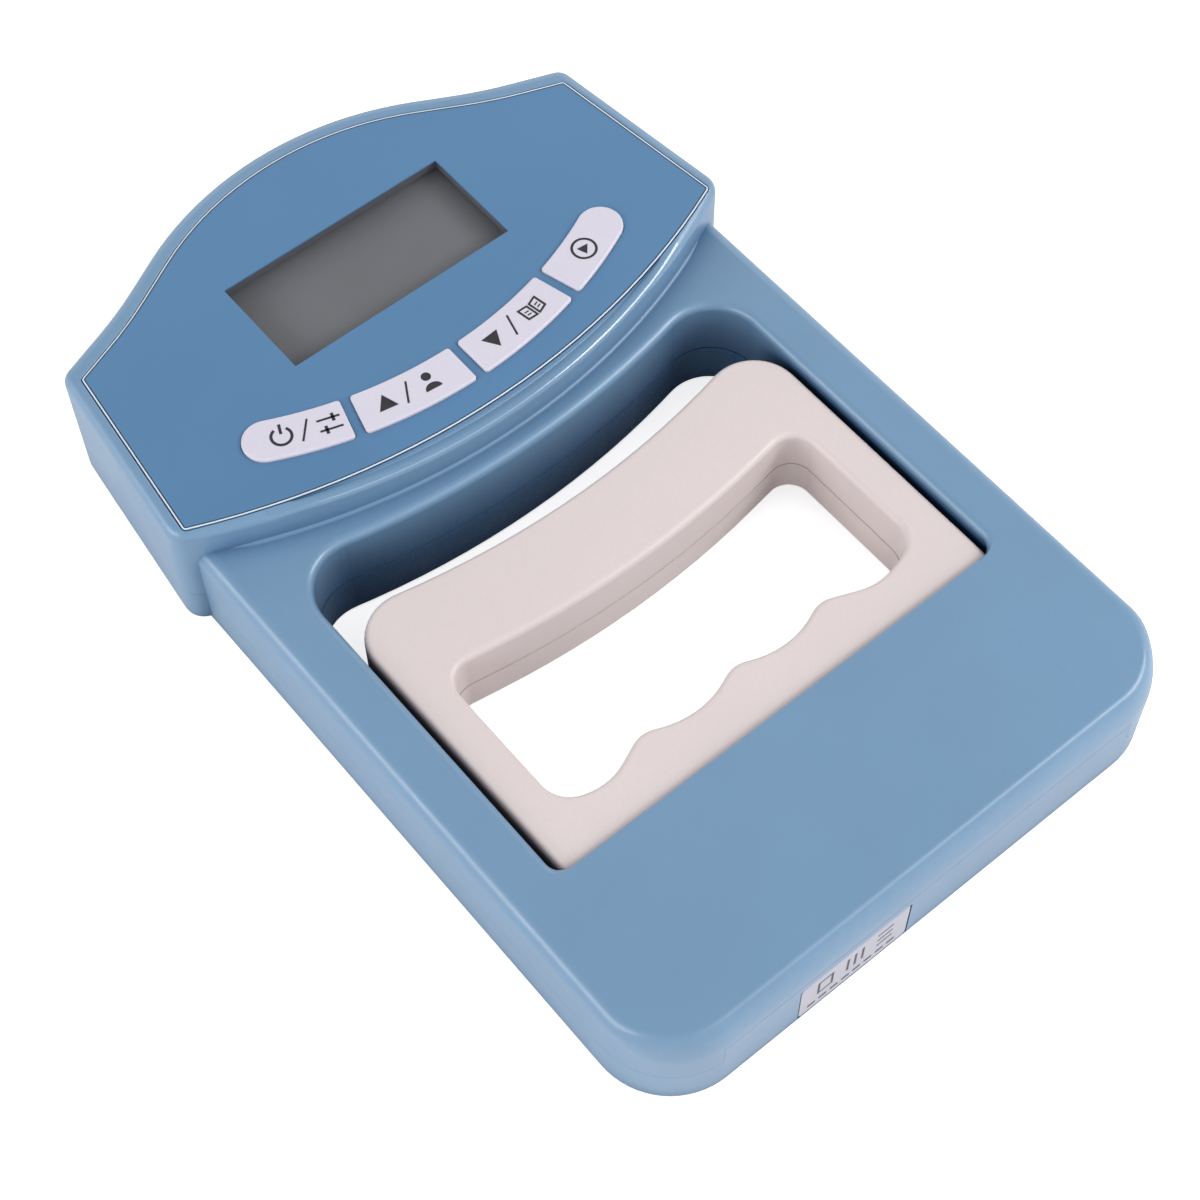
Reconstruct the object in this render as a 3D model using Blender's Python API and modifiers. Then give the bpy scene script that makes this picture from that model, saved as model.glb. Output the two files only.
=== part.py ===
"""Hand dynamometer: a grip-strength meter with a display head, a sliding grip frame and a bending-beam load cell.

Frame: +X to the reader's right, +Y towards the display end, +Z out of the front face. The back rests on z = 0,
x = 0 is the plane of symmetry and the origin is the middle of the length. Sizes are in millimetres; y is
measured from the lower edge of the display opening and DATUM_Y moves it to the origin.

Cutters overrun the faces they open, by differing amounts so that their ends don't share a plane.
"""
import bpy
import bmesh
import math
from mathutils import Vector, Matrix

for old in list(bpy.data.objects):
    bpy.data.objects.remove(old, do_unlink=True)

MM = 0.001
GAP = 0.3                      # clearance between neighbouring pieces
EMBED = 0.5                    # how far bosses and walls run into the plate that carries them
SEAT_GAP = 0.1                 # between a screw head and its seat
SIDES = (-1, 1)                # left, right

# ---- driving dimensions --------------------------------------------------------------------------
DATUM_Y = 49.8                 # display opening's lower edge, above the origin
BODY_HALF_W = 60.9
BODY_END = -146.4              # palm end of the body
BODY_TOP = -8.0                # end of the body's outline, inside the head
BODY_CORNER = 15.0             # plan radius of the two palm-end corners
Z_PART = 10.0                  # parting plane between the housings
Z_TONGUE = 15.2                # parting height along the palm end
TONGUE_HALF_W = 47.0
Z_FACE = 23.0                  # front face of the body
Z_HEAD = 30.0                  # front face of the display head
WALL = 2.2                     # side walls of the body
FACE_T = 2.2                   # face plate of the body
HEAD_T = 2.4                   # walls and face plate of the head
PALM_T = 1.5                   # face plate over the grip's hidden end
FLOOR_T = 2.0                  # back plate
FRONT_Z0 = Z_PART + GAP / 2    # lower edge of the front housing
REAR_Z1 = Z_PART - GAP / 2     # upper edge of the rear housing
HEAD_ROOF = Z_HEAD - HEAD_T    # inner faces of the face plates
BODY_ROOF = Z_FACE - FACE_T
PALM_ROOF = Z_FACE - PALM_T

EDGE_R = 3.0                   # rolled front edge of the body
HEAD_R = 2.2                   # rolled front edge of the head
BACK_R = 1.5                   # rolled back edge of the body
HEAD_BACK_R = 3.0              # rolled back edge of the head

FLANK_X = 59.46                # panel's right flank at y = 0
FLANK_SLOPE = -0.110           # dx per dy of the right flank
BELL_Y = 51.26                 # where the panel's bell lines meet on the plane of symmetry
BELL_SLOPE, SHOULDER_SLOPE = 0.541, 0.375
BELL_R = 62.0
KNEE_X, KNEE_R = 43.4, 86.0    # bend between bell and shoulder

WIN_HALF_W = 50.3              # window in the body
WIN_END = -107.5
WIN_APEX = -37.0
WIN_TOP_R = 175.0
WIN_REACH = 40.0
WIN_CORNER = 9.5
WIN_WALL_END = -118.0          # the window's side walls go on as guides for the grip
GUIDE_WALL = 2.0
SLIDE_Y = (-122.0, WIN_END + 5)  # channel for the grip's hidden end

GRIP_HALF_W = 49.1
GRIP_APEX = -50.0
GRIP_TOP_R = 172.0
GRIP_END = -117.0              # hidden end of the grip, inside the body
GRIP_Z0, GRIP_Z1, GRIP_SPLIT = 4.2, 21.2, 12.0
GRIP_WALL = 2.0
HOLE_HALF_W = 41.2             # finger window in the grip
HOLE_APEX = -68.3
HOLE_TOP_R = 187.0
HOLE_SIDE_Y = -96.4            # lower corners of the finger window
CUSPS = (-22.0, -0.8, 19.4)    # x of the ridges between the fingers
CUSP_Y, TROUGH_Y = -94.9, -99.4
FIRST_TROUGH, LAST_TROUGH = -32.3, 30.2

LCD_HALF_W, LCD_H = 25.0, 22.9  # display opening
OPENING_Z0 = 26.0              # depth of the display and key openings
PANEL_T = 0.45
KEY_ARC_Y = 70.2               # centre of the arc the keys lie on
KEY_R0, KEY_R1 = 85.0, 94.0
KEY_MID_R = (KEY_R0 + KEY_R1) / 2
KEY_PROUD = 0.7

BOSSES = ((-50.0, 11.0), (50.0, 11.0), (-23.0, 34.0), (23.0, 34.0), (-49.5, -134.5), (49.5, -134.5))
BOARD_BOSSES = ((-40.0, 23.0), (40.0, 23.0), (-40.0, 1.5), (40.0, 1.5))
GRIP_BOSSES = ((-33.0, -56.5), (33.0, -56.5), (-33.0, -110.6), (33.0, -110.6))
BORE_TOP = 4.6                 # ends of the screw-head bores in the rear housing and rear grip
GRIP_BORE_TOP = 6.6
SCREW_HOLE_R = 1.4             # in the board and the grip core
Z_BOARD0, Z_BOARD1 = 19.0, 20.6

FOOT_STOP_X = (21.0, 34.0)     # stops for the grip's steel foot
FOOT_STOP_Y = (-121.2, -118.6)

BAY_X, BAY_Y, BAY_TOP = (-26.5, 26.5), (2.0, 24.0), 13.4   # battery bay
DOOR_Y0, DOOR_Y1, DOOR_HALF_W, DOOR_T = 0.0, 27.0, 27.7, 1.8
TAB_X, TAB_HALF_W = 15.0, 3.0  # the door's hinge tabs
CONTACT_Y0, CONTACT_Y1 = 4.0, 22.0

LABEL_X, LABEL_Z = (-30.0, -5.4), (1.8, 12.9)

parts = bpy.data.collections.new("hand_dynamometer")
guides = bpy.data.collections.new("cutters")
bpy.context.scene.collection.children.link(parts)
bpy.context.scene.collection.children.link(guides)

# ---- materials -----------------------------------------------------------------------------------
FINISH = {                     # base colour, roughness, metallic
    "housing_blue": ((0.19, 0.33, 0.49), 0.38, 0.0), "panel_film": ((0.12, 0.25, 0.42), 0.33, 0.0),
    "grip_white": ((0.73, 0.65, 0.64), 0.42, 0.0), "key_white": ((0.70, 0.66, 0.78), 0.36, 0.0),
    "display_grey": ((0.14, 0.145, 0.155), 0.30, 0.0), "clear_lens": ((0.55, 0.58, 0.60), 0.08, 0.0),
    "holder_black": ((0.03, 0.03, 0.035), 0.5, 0.0), "elastomer": ((0.35, 0.33, 0.34), 0.7, 0.0),
    "board_green": ((0.03, 0.16, 0.07), 0.45, 0.0), "chip_black": ((0.02, 0.02, 0.02), 0.55, 0.0),
    "steel": ((0.55, 0.56, 0.58), 0.32, 1.0), "zinc": ((0.62, 0.62, 0.60), 0.38, 1.0),
    "aluminium": ((0.72, 0.73, 0.75), 0.35, 1.0), "nickel": ((0.70, 0.67, 0.60), 0.28, 1.0),
    "cell_wrap": ((0.05, 0.07, 0.09), 0.35, 0.0), "cable_grey": ((0.30, 0.31, 0.33), 0.55, 0.0),
    "wire_red": ((0.55, 0.03, 0.03), 0.5, 0.0), "wire_black": ((0.02, 0.02, 0.02), 0.5, 0.0),
    "label_white": ((0.80, 0.79, 0.80), 0.45, 0.0), "gauge_amber": ((0.60, 0.28, 0.06), 0.4, 0.0),
}


def material(piece, slot):
    rgb, roughness, metallic = FINISH[slot]
    mat = bpy.data.materials.new(piece + "_" + slot)
    mat.use_nodes = True
    shader = mat.node_tree.nodes["Principled BSDF"]
    shader.inputs["Base Color"].default_value = (*rgb, 1.0)
    shader.inputs["Roughness"].default_value = roughness
    shader.inputs["Metallic"].default_value = metallic
    mat.diffuse_color = (*rgb, 1.0)
    return mat


# ---- spans: (low, high) pairs --------------------------------------------------------------------
def around(middle, half):
    return middle - half, middle + half


def widened(span, margin):
    return span[0] - margin, span[1] + margin


def on_side(side, inner, outer):
    return tuple(sorted((side * inner, side * outer)))


# ---- outlines: a list of (point, outward normal) -------------------------------------------------
def rounded(corners, tol=0.09):
    """Counter-clockwise outline from (x, y, radius) corners; arcs are split to a chord tolerance."""
    out = []
    for i, (x, y, radius) in enumerate(corners):
        p = Vector((x, y))
        before = Vector(corners[i - 1][:2])
        after = Vector(corners[(i + 1) % len(corners)][:2])
        u, v = (before - p).normalized(), (after - p).normalized()
        half = u.angle(v) / 2
        sign = 1.0 if (p - before).cross(after - p) > 0 else -1.0
        if radius <= 0:
            mitre = -(u + v).normalized() * sign
            out.append((p, mitre / math.sin(half)))
            continue
        centre = p + (u + v).normalized() * (radius / math.sin(half))
        start = p + u * (radius / math.tan(half)) - centre
        end = p + v * (radius / math.tan(half)) - centre
        angle = math.atan2(start.y, start.x)
        turn = (math.atan2(end.y, end.x) - angle + math.pi) % (2 * math.pi) - math.pi
        chord = 2 * math.acos(max(0.0, 1 - tol / radius))
        steps = max(2, math.ceil(abs(turn) / chord))
        for k in range(steps + 1):
            a = angle + turn * k / steps
            ray = Vector((math.cos(a), math.sin(a)))
            out.append((centre + ray * radius, ray * sign))
    return out


def grown(outline, d):
    return [(p + n * d, n) for p, n in outline]


def mirrored(outline):
    return [(Vector((-p.x, p.y)), Vector((-n.x, n.y))) for p, n in reversed(outline)]


def rect(x, y, radius):
    (x0, x1), (y0, y1) = x, y
    return rounded([(x0, y0, radius), (x1, y0, radius), (x1, y1, radius), (x0, y1, radius)])


def circle(x, y, radius, n=16):
    rays = [Vector((math.cos(a), math.sin(a))) for a in (2 * math.pi * k / n for k in range(n))]
    return [(Vector((x + radius * ray.x, y + radius * ray.y)), ray) for ray in rays]


def sagging_top(half_w, apex, radius, reach, corner):
    """Corners of an edge that dips along an arc to `apex`; the shoulders are tangent at x = reach."""
    root = math.sqrt(radius ** 2 - reach ** 2)
    slope, y_reach = reach / root, apex + radius - root
    y_shoulder = y_reach + slope * (half_w - reach)
    return [(half_w, y_shoulder, corner), (0.0, y_reach - slope * reach, radius),
            (-half_w, y_shoulder, corner)]


def sagged(top, base, base_corner):
    """A box closed below a sagging top."""
    half_w = top[0][0]
    return rounded([(-half_w, base, base_corner), (half_w, base, base_corner)] + top)


def head(side, top, low_y, low_slope, low_r, corner_r, shoulder_r):
    """Bell-topped outline: straight flanks that widen downwards and a smile-shaped lower edge.

    `side` and `top` are how far the flanks and the bell stand outside those of the panel.
    """
    def flank_x(y):
        return FLANK_X + side + FLANK_SLOPE * y

    bell_y = BELL_Y + top / math.cos(math.atan(BELL_SLOPE))
    knee_y = bell_y - BELL_SLOPE * KNEE_X
    shoulder_x = 57.0
    for _ in range(4):                               # settle the shoulder onto the flank
        shoulder_y = knee_y - SHOULDER_SLOPE * (shoulder_x - KNEE_X)
        shoulder_x = flank_x(shoulder_y)
    corner_x = 61.0
    for _ in range(8):                               # settle the lower corner onto the flank
        corner_y = low_y + low_slope * corner_x
        corner_x = flank_x(corner_y)
    return rounded([(0.0, low_y, low_r), (corner_x, corner_y, corner_r),
                    (shoulder_x, shoulder_y, shoulder_r), (KNEE_X, knee_y, KNEE_R),
                    (0.0, bell_y, BELL_R + top), (-KNEE_X, knee_y, KNEE_R),
                    (-shoulder_x, shoulder_y, shoulder_r), (-corner_x, corner_y, corner_r)])


def finger_window():
    low = [(-HOLE_HALF_W, HOLE_SIDE_Y, 6.0), (FIRST_TROUGH, TROUGH_Y, 12.0)]
    for a, b in zip(CUSPS, CUSPS[1:]):
        low += [(a, CUSP_Y, 6.0), ((a + b) / 2, TROUGH_Y, 18.0)]
    low += [(CUSPS[-1], CUSP_Y, 6.0), (LAST_TROUGH, TROUGH_Y, 12.0), (HOLE_HALF_W, HOLE_SIDE_Y, 6.0)]
    return rounded(low + sagging_top(HOLE_HALF_W, HOLE_APEX, HOLE_TOP_R, 30.0, 4.5))


def on_key_arc(radius, angle):
    """Point on the key arc; the angle is from straight down, + to the right."""
    return Vector((radius * math.sin(angle), KEY_ARC_Y - radius * math.cos(angle)))


def key_outline(start_deg, end_deg, round_end):
    """Sector of the key arc between two angles."""
    a0, a1 = math.radians(start_deg), math.radians(end_deg)
    n = max(3, round(abs(a1 - a0) / 0.055))
    angles = [a0 + (a1 - a0) * k / n for k in range(n + 1)]
    outer = [on_key_arc(KEY_R1, a) for a in angles]
    inner = [on_key_arc(KEY_R0, a) for a in angles]
    cap = []
    if round_end:
        middle, radius = on_key_arc(KEY_MID_R, a1), (KEY_R1 - KEY_R0) / 2
        for k in range(1, 8):
            t = -math.pi / 2 + a1 + math.pi * k / 8
            cap.append(middle + Vector((math.cos(t), math.sin(t))) * radius)
    points = outer + cap + inner[::-1]
    out = []
    for i, p in enumerate(points):
        u = (points[i - 1] - p).normalized()
        v = (points[(i + 1) % len(points)] - p).normalized()
        tangent = (v - u).normalized()
        normal = Vector((tangent.y, -tangent.x))
        out.append((p, normal / max(0.5, math.sin(u.angle(v) / 2))))
    return out


BODY = rounded([(-BODY_HALF_W, BODY_END, BODY_CORNER), (BODY_HALF_W, BODY_END, BODY_CORNER),
                (BODY_HALF_W, BODY_TOP, 0), (-BODY_HALF_W, BODY_TOP, 0)])
HEAD = head(side=2.9, top=3.9, low_y=-48.4, low_slope=0.50, low_r=133.0, corner_r=4.0, shoulder_r=3.2)
PANEL = head(side=0.0, top=0.0, low_y=-43.2, low_slope=0.4365, low_r=150.5, corner_r=0.8, shoulder_r=0.8)
WINDOW = sagged(sagging_top(WIN_HALF_W, WIN_APEX, WIN_TOP_R, WIN_REACH, WIN_CORNER), WIN_END, 3.0)
GUIDE = sagged(sagging_top(WIN_HALF_W + GUIDE_WALL, WIN_APEX + GUIDE_WALL, WIN_TOP_R - GUIDE_WALL,
                           WIN_REACH, WIN_CORNER + GUIDE_WALL), WIN_WALL_END, 1.0)
GRIP = sagged(sagging_top(GRIP_HALF_W, GRIP_APEX, GRIP_TOP_R, 38.0, 9.5), GRIP_END, 3.2)
HOLE = finger_window()
KEY_START = key_outline(16.05, 25.87, True)
KEY_DOWN = key_outline(0.64, 14.75, False)
KEYS = {                       # outline, angle of the switch below it in degrees
    "power": (mirrored(KEY_START), -20.6), "up": (mirrored(KEY_DOWN), -7.7),
    "down": (KEY_DOWN, 7.7), "start": (KEY_START, 20.6),
}


# ---- building blocks -----------------------------------------------------------------------------
def add(data, at=(0, 0, 0)):
    ob = bpy.data.objects.new("tool", data)
    ob.location = at
    guides.objects.link(ob)
    return ob


def mesh_from(bm):
    mesh = bpy.data.meshes.new("tool")
    bm.to_mesh(mesh)
    bm.free()
    return mesh


def settle(ob, merge_flat=False):
    """Turn an object with modifiers, or a curve, into a plain closed mesh in place."""
    bpy.context.view_layer.update()
    evaluated = ob.evaluated_get(bpy.context.evaluated_depsgraph_get())
    mesh = bpy.data.meshes.new_from_object(evaluated)
    matrix = ob.matrix_world.copy()
    bpy.data.objects.remove(ob, do_unlink=True)
    bm = bmesh.new()
    bm.from_mesh(mesh)
    bmesh.ops.remove_doubles(bm, verts=bm.verts, dist=2e-6)
    if merge_flat:
        bmesh.ops.dissolve_limit(bm, angle_limit=0.0008, verts=bm.verts, edges=bm.edges)
    bm.to_mesh(mesh)
    bm.free()
    new = add(mesh)
    new.matrix_world = matrix
    return new


def combine(ob, tool, operation):
    mod = ob.modifiers.new("combine", "BOOLEAN")
    mod.operation, mod.object, mod.solver = operation, tool, "EXACT"
    ob = settle(ob)
    bpy.data.objects.remove(tool, do_unlink=True)
    return ob


def cut(ob, tool):
    return combine(ob, tool, "DIFFERENCE")


def join(ob, tool):
    return combine(ob, tool, "UNION")


def overlap(ob, tool):
    return combine(ob, tool, "INTERSECT")


def prism(outlines, z0, z1, shift=True):
    """Straight-sided plate from one outline, or from a list of them with the outer one first."""
    if isinstance(outlines[0], tuple):
        outlines = [outlines]
    curve = bpy.data.curves.new("tool", "CURVE")
    curve.dimensions, curve.fill_mode, curve.extrude = "2D", "BOTH", (z1 - z0) / 2 * MM
    for outline in outlines:
        spline = curve.splines.new("POLY")
        spline.points.add(len(outline) - 1)
        for q, (p, _) in zip(spline.points, outline):
            q.co = (p.x * MM, (p.y + (DATUM_Y if shift else 0)) * MM, 0, 1)
        spline.use_cyclic_u = True
    return settle(add(curve, at=(0, 0, (z0 + z1) / 2 * MM)), merge_flat=len(outlines) == 1)


def crosswise(outline, x, y, z):
    """Prism of an x-z outline drawn about (x, z) and extruded over the y span."""
    half = (y[1] - y[0]) / 2
    ob = prism(outline, -half, half, shift=False)
    place = Matrix.Translation((x * MM, ((y[0] + y[1]) / 2 + DATUM_Y) * MM, z * MM))
    ob.matrix_world = place @ Matrix.Rotation(math.pi / 2, 4, "X")
    return ob


def rod(x, y, radius, z0, z1, n=16):
    return prism(circle(x, y, radius, n), z0, z1)


def rolled(outline, z0, z1, top=0.0, bottom=0.0, segments=3):
    """Plate whose top and bottom edges are rounded by weighted bevels."""
    ob = prism(outline, z0, z1)
    width = max(top, bottom)
    mesh = ob.data
    weight = mesh.attributes.new("bevel_weight_edge", "FLOAT", "EDGE")
    half = (z1 - z0) / 2 * MM
    for e in mesh.edges:
        za, zb = (mesh.vertices[v].co.z for v in e.vertices)
        if abs(za - half) < 1e-6 and abs(zb - half) < 1e-6:
            weight.data[e.index].value = top / width
        elif abs(za + half) < 1e-6 and abs(zb + half) < 1e-6:
            weight.data[e.index].value = bottom / width
    bevel = ob.modifiers.new("rolled_edge", "BEVEL")
    bevel.limit_method, bevel.width, bevel.segments = "WEIGHT", width * MM, segments
    bevel.use_clamp_overlap = False
    return settle(ob)


def loft(rings):
    """Closed body through rings that have the same number of points, bottom ring first."""
    bm = bmesh.new()
    rows = [[bm.verts.new((x * MM, (y + DATUM_Y) * MM, z * MM)) for x, y, z in ring] for ring in rings]
    for lower, upper in zip(rows, rows[1:]):
        for i in range(len(lower)):
            j = (i + 1) % len(lower)
            bm.faces.new((lower[i], lower[j], upper[j], upper[i]))
    bm.faces.new(rows[0][::-1])
    bm.faces.new(rows[-1])
    return add(mesh_from(bm))


def flared(outline, z0, z1, radius, up=True, low_scale=1.0, low_y=-math.inf, segments=3):
    """Cutter that opens out towards one end, so that the edge it leaves is rounded.

    The flare is scaled by `low_scale` where the outline lies below `low_y`.
    """
    overrun = 1.0
    angles = [math.pi / 2 * k / segments for k in range(segments + 1)]
    arc = [(radius * math.sin(a), radius * (1 - math.cos(a))) for a in angles]
    if up:
        levels = [(z0, 0.0)] + [(z1 - radius + rise, spread) for rise, spread in arc]
        levels.append((z1 + overrun, radius))
    else:
        levels = [(z0 - overrun, radius)]
        levels += [(z0 + radius - rise, spread) for rise, spread in reversed(arc)]
        levels.append((z1, 0.0))
    rings = []
    for z, d in levels:
        ring = []
        for p, n in outline:
            scale = low_scale if p.y < low_y else 1.0
            ring.append((p.x + n.x * d, p.y + n.y * d * scale, z))
        rings.append(ring)
    return loft(rings)


def box(x, y, z):
    """Block over the x, y and z spans."""
    (x0, x1), (y0, y1), (z0, z1) = x, y, z
    size = Matrix.Diagonal(((x1 - x0) * MM, (y1 - y0) * MM, (z1 - z0) * MM, 1.0))
    bm = bmesh.new()
    bmesh.ops.create_cube(bm, size=1.0)
    bmesh.ops.transform(bm, verts=bm.verts, matrix=size)
    middle = ((x0 + x1) / 2 * MM, ((y0 + y1) / 2 + DATUM_Y) * MM, (z0 + z1) / 2 * MM)
    return add(mesh_from(bm), at=middle)


AXIS_TURNS = {
    "Z": Matrix.Identity(4),
    "X": Matrix.Rotation(math.pi / 2, 4, "Y"), "-X": Matrix.Rotation(-math.pi / 2, 4, "Y"),
    "Y": Matrix.Rotation(-math.pi / 2, 4, "X"), "-Y": Matrix.Rotation(math.pi / 2, 4, "X"),
}


def turned(profile, steps, axis, at):
    """Screw-modifier body from (radius, height) points, with its height along the axis."""
    bm = bmesh.new()
    verts = [bm.verts.new((radius * MM, 0, z * MM)) for radius, z in profile]
    for a, b in zip(verts, verts[1:]):
        bm.edges.new((a, b))
    ob = add(mesh_from(bm), at=(at[0] * MM, (at[1] + DATUM_Y) * MM, at[2] * MM))
    turn = ob.modifiers.new("turn", "SCREW")
    turn.axis, turn.angle, turn.screw_offset = "Z", 2 * math.pi, 0.0
    turn.use_merge_vertices, turn.merge_threshold = True, 1e-6
    turn.steps = turn.render_steps = steps
    ob.matrix_world = Matrix.Translation(ob.location) @ AXIS_TURNS[axis]
    return settle(ob)


def tube(points, radius):
    curve = bpy.data.curves.new("tool", "CURVE")
    curve.dimensions, curve.use_fill_caps = "3D", True
    curve.bevel_depth, curve.bevel_resolution = radius * MM, 1
    spline = curve.splines.new("POLY")
    spline.points.add(len(points) - 1)
    for q, (x, y, z) in zip(spline.points, points):
        q.co = (x * MM, (y + DATUM_Y) * MM, z * MM, 1)
    return settle(add(curve))


def smooth_path(knots, n=3):
    """Catmull-Rom samples through the knots, n to a stretch."""
    pts = [Vector(k) for k in knots]
    pts = [2 * pts[0] - pts[1]] + pts + [2 * pts[-1] - pts[-2]]
    out = []
    for a, b, c, d in zip(pts, pts[1:], pts[2:], pts[3:]):
        for k in range(n):
            t = k / n
            out.append(0.5 * ((2 * b) + (c - a) * t + (2 * a - 5 * b + 4 * c - d) * t ** 2
                              + (3 * b - a - 3 * c + d) * t ** 3))
    return [tuple(p) for p in out + [pts[-2]]]


def tidy(ob):
    """Merge the flat triangles that the cuts left, where that keeps the surface closed."""
    bm = bmesh.new()
    bm.from_mesh(ob.data)
    volume = bm.calc_volume()
    bmesh.ops.dissolve_limit(bm, angle_limit=0.0008, verts=bm.verts, edges=bm.edges)
    bmesh.ops.triangulate(bm, faces=bm.faces)
    closed = all(len(e.link_faces) == 2 for e in bm.edges)
    if closed and abs(bm.calc_volume() - volume) < 2e-4 * volume:
        bm.to_mesh(ob.data)
    bm.free()


def finish(ob, name, slot, smooth=35.0):
    """Name the piece, give it its own material and put it with the parts."""
    tidy(ob)
    ob.name = name
    ob.data.name = name
    guides.objects.unlink(ob)
    parts.objects.link(ob)
    ob.data.materials.clear()
    ob.data.materials.append(material(name, slot))
    ob.data.shade_smooth()
    ob.data.set_sharp_from_angle(angle=math.radians(smooth))


# ---- front housing -------------------------------------------------------------------------------
FRONT_BOSS_R, FRONT_PILOT_R, FRONT_PILOT_TOP = 3.5, 1.5, 19.5
BOARD_BOSS_R, BOARD_PILOT_R, BOARD_PILOT_TOP = 2.6, 1.15, 26.6
COVE, COVE_HALF_W = 1.2, 50.0  # depth and half width of the cove under the panel
COVE_OUTLINE = ((-66, -60, 0), (66, -60, 0), (66, -14.6, 0), (0, -43.4, 150.7), (-66, -14.6, 0))
COVE_SLICES, COVE_WEDGE_HALF_W = 28, 70


def front_hollow():
    hollow = join(prism(grown(BODY, -WALL), Z_PART - 2, BODY_ROOF),
                  prism(grown(HEAD, -HEAD_T), Z_PART - 1, HEAD_ROOF))
    palm = overlap(prism(grown(BODY, -WALL), Z_PART - 3, PALM_ROOF),
                   box((-80, 80), (-160, WIN_WALL_END + 4), (0, 30)))
    hollow = join(hollow, palm)
    return cut(hollow, prism(GUIDE, Z_PART - 4, Z_HEAD))


def add_front_bosses(front):
    for x, y in BOSSES:
        roof = HEAD_ROOF if y > -100 else PALM_ROOF
        front = join(front, rod(x, y, FRONT_BOSS_R, FRONT_Z0, roof + EMBED))
        front = cut(front, rod(x, y, FRONT_PILOT_R, Z_PART - 1, FRONT_PILOT_TOP, 12))
    for x, y in BOARD_BOSSES:
        front = join(front, rod(x, y, BOARD_BOSS_R, Z_BOARD1 + 0.2, HEAD_ROOF + EMBED, 12))
        front = cut(front, rod(x, y, BOARD_PILOT_R, Z_BOARD1 - 1, BOARD_PILOT_TOP, 8))
    return front


def cove_cutter():
    """Cove whose floor dips towards the middle and fades out at the corners."""
    cove = prism(rounded(COVE_OUTLINE), Z_HEAD - 6, Z_HEAD + 3)
    arc_r = (COVE_HALF_W ** 2 + COVE ** 2) / (2 * COVE)
    floor = []
    for k in range(COVE_SLICES + 1):
        x = -COVE_WEDGE_HALF_W + 2 * COVE_WEDGE_HALF_W * k / COVE_SLICES
        if abs(x) < COVE_HALF_W:
            z = Z_HEAD - max(0.0, COVE - x * x / (2 * arc_r))
        else:
            z = Z_HEAD + 0.02
        floor.append((x, z))
    corners = floor + [(COVE_WEDGE_HALF_W, Z_HEAD + 4), (-COVE_WEDGE_HALF_W, Z_HEAD + 4)]
    wedge = [(Vector(corner), Vector((0, 1))) for corner in corners]
    return overlap(cove, crosswise(wedge, 0, (-70, 10), 0))


def build_front_housing():
    front = join(rolled(BODY, FRONT_Z0, Z_FACE, top=EDGE_R), rolled(HEAD, FRONT_Z0, Z_HEAD, top=HEAD_R))
    front = cut(front, front_hollow())
    front = cut(front, box((-WIN_HALF_W, WIN_HALF_W), SLIDE_Y, (Z_PART - 5, PALM_ROOF)))
    front = cut(front, flared(WINDOW, Z_PART - 6, Z_FACE, 1.4, low_scale=0.5, low_y=WIN_END + 1))
    front = add_front_bosses(front)
    for side in SIDES:
        front = join(front, box(on_side(side, *FOOT_STOP_X), FOOT_STOP_Y, (13.8, PALM_ROOF + 0.4)))
    front = cut(front, prism(grown(PANEL, 0.2), Z_HEAD - PANEL_T - 0.1, Z_HEAD + 2))
    display = rect(around(0, LCD_HALF_W + 0.2), (-0.2, LCD_H + 0.2), 0)
    front = cut(front, prism(display, OPENING_Z0, Z_HEAD + 2))
    for outline, _ in KEYS.values():
        front = cut(front, prism(grown(outline, GAP), OPENING_Z0, Z_HEAD + 2))
    # notch for the rear housing's tongue
    front = cut(front, box(around(0, TONGUE_HALF_W + GAP), (BODY_END - 3, BODY_END + WALL + 0.4),
                           (Z_PART - 2, Z_TONGUE + GAP / 2)))
    front = cut(front, cove_cutter())
    finish(front, "front_housing", "housing_blue", 30)


build_front_housing()

# ---- rear housing --------------------------------------------------------------------------------
REAR_BOSS_R, REAR_BORE_R, REAR_HOLE_R = 4.2, 3.0, 1.7


def rear_shell():
    """Floor and walls; only the tongue stands above the parting plane."""
    shell = rolled(BODY, 0, Z_TONGUE - GAP / 2, bottom=BACK_R)
    shell = cut(shell, box((-80, 80), (BODY_END + WALL - 0.6, 90), (REAR_Z1, 30)))
    for side in SIDES:
        shell = cut(shell, box(on_side(side, TONGUE_HALF_W, 90), (-170, 90), (REAR_Z1, 31)))
    rear = join(shell, rolled(HEAD, 0, REAR_Z1, bottom=HEAD_BACK_R))
    hollow = join(prism(grown(BODY, -WALL), FLOOR_T, Z_TONGUE + 2),
                  prism(grown(HEAD, -HEAD_T), FLOOR_T, Z_TONGUE + 3))
    hollow = cut(hollow, prism(GUIDE, 0.5, Z_TONGUE + 4))
    return cut(rear, hollow)


def add_rear_bosses(rear):
    for x, y in BOSSES:
        rear = join(rear, rod(x, y, REAR_BOSS_R, FLOOR_T - EMBED, REAR_Z1))
        rear = cut(rear, rod(x, y, REAR_BORE_R, -1, BORE_TOP))
        rear = cut(rear, rod(x, y, REAR_HOLE_R, 0, Z_PART + 1, 12))
    return rear


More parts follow.
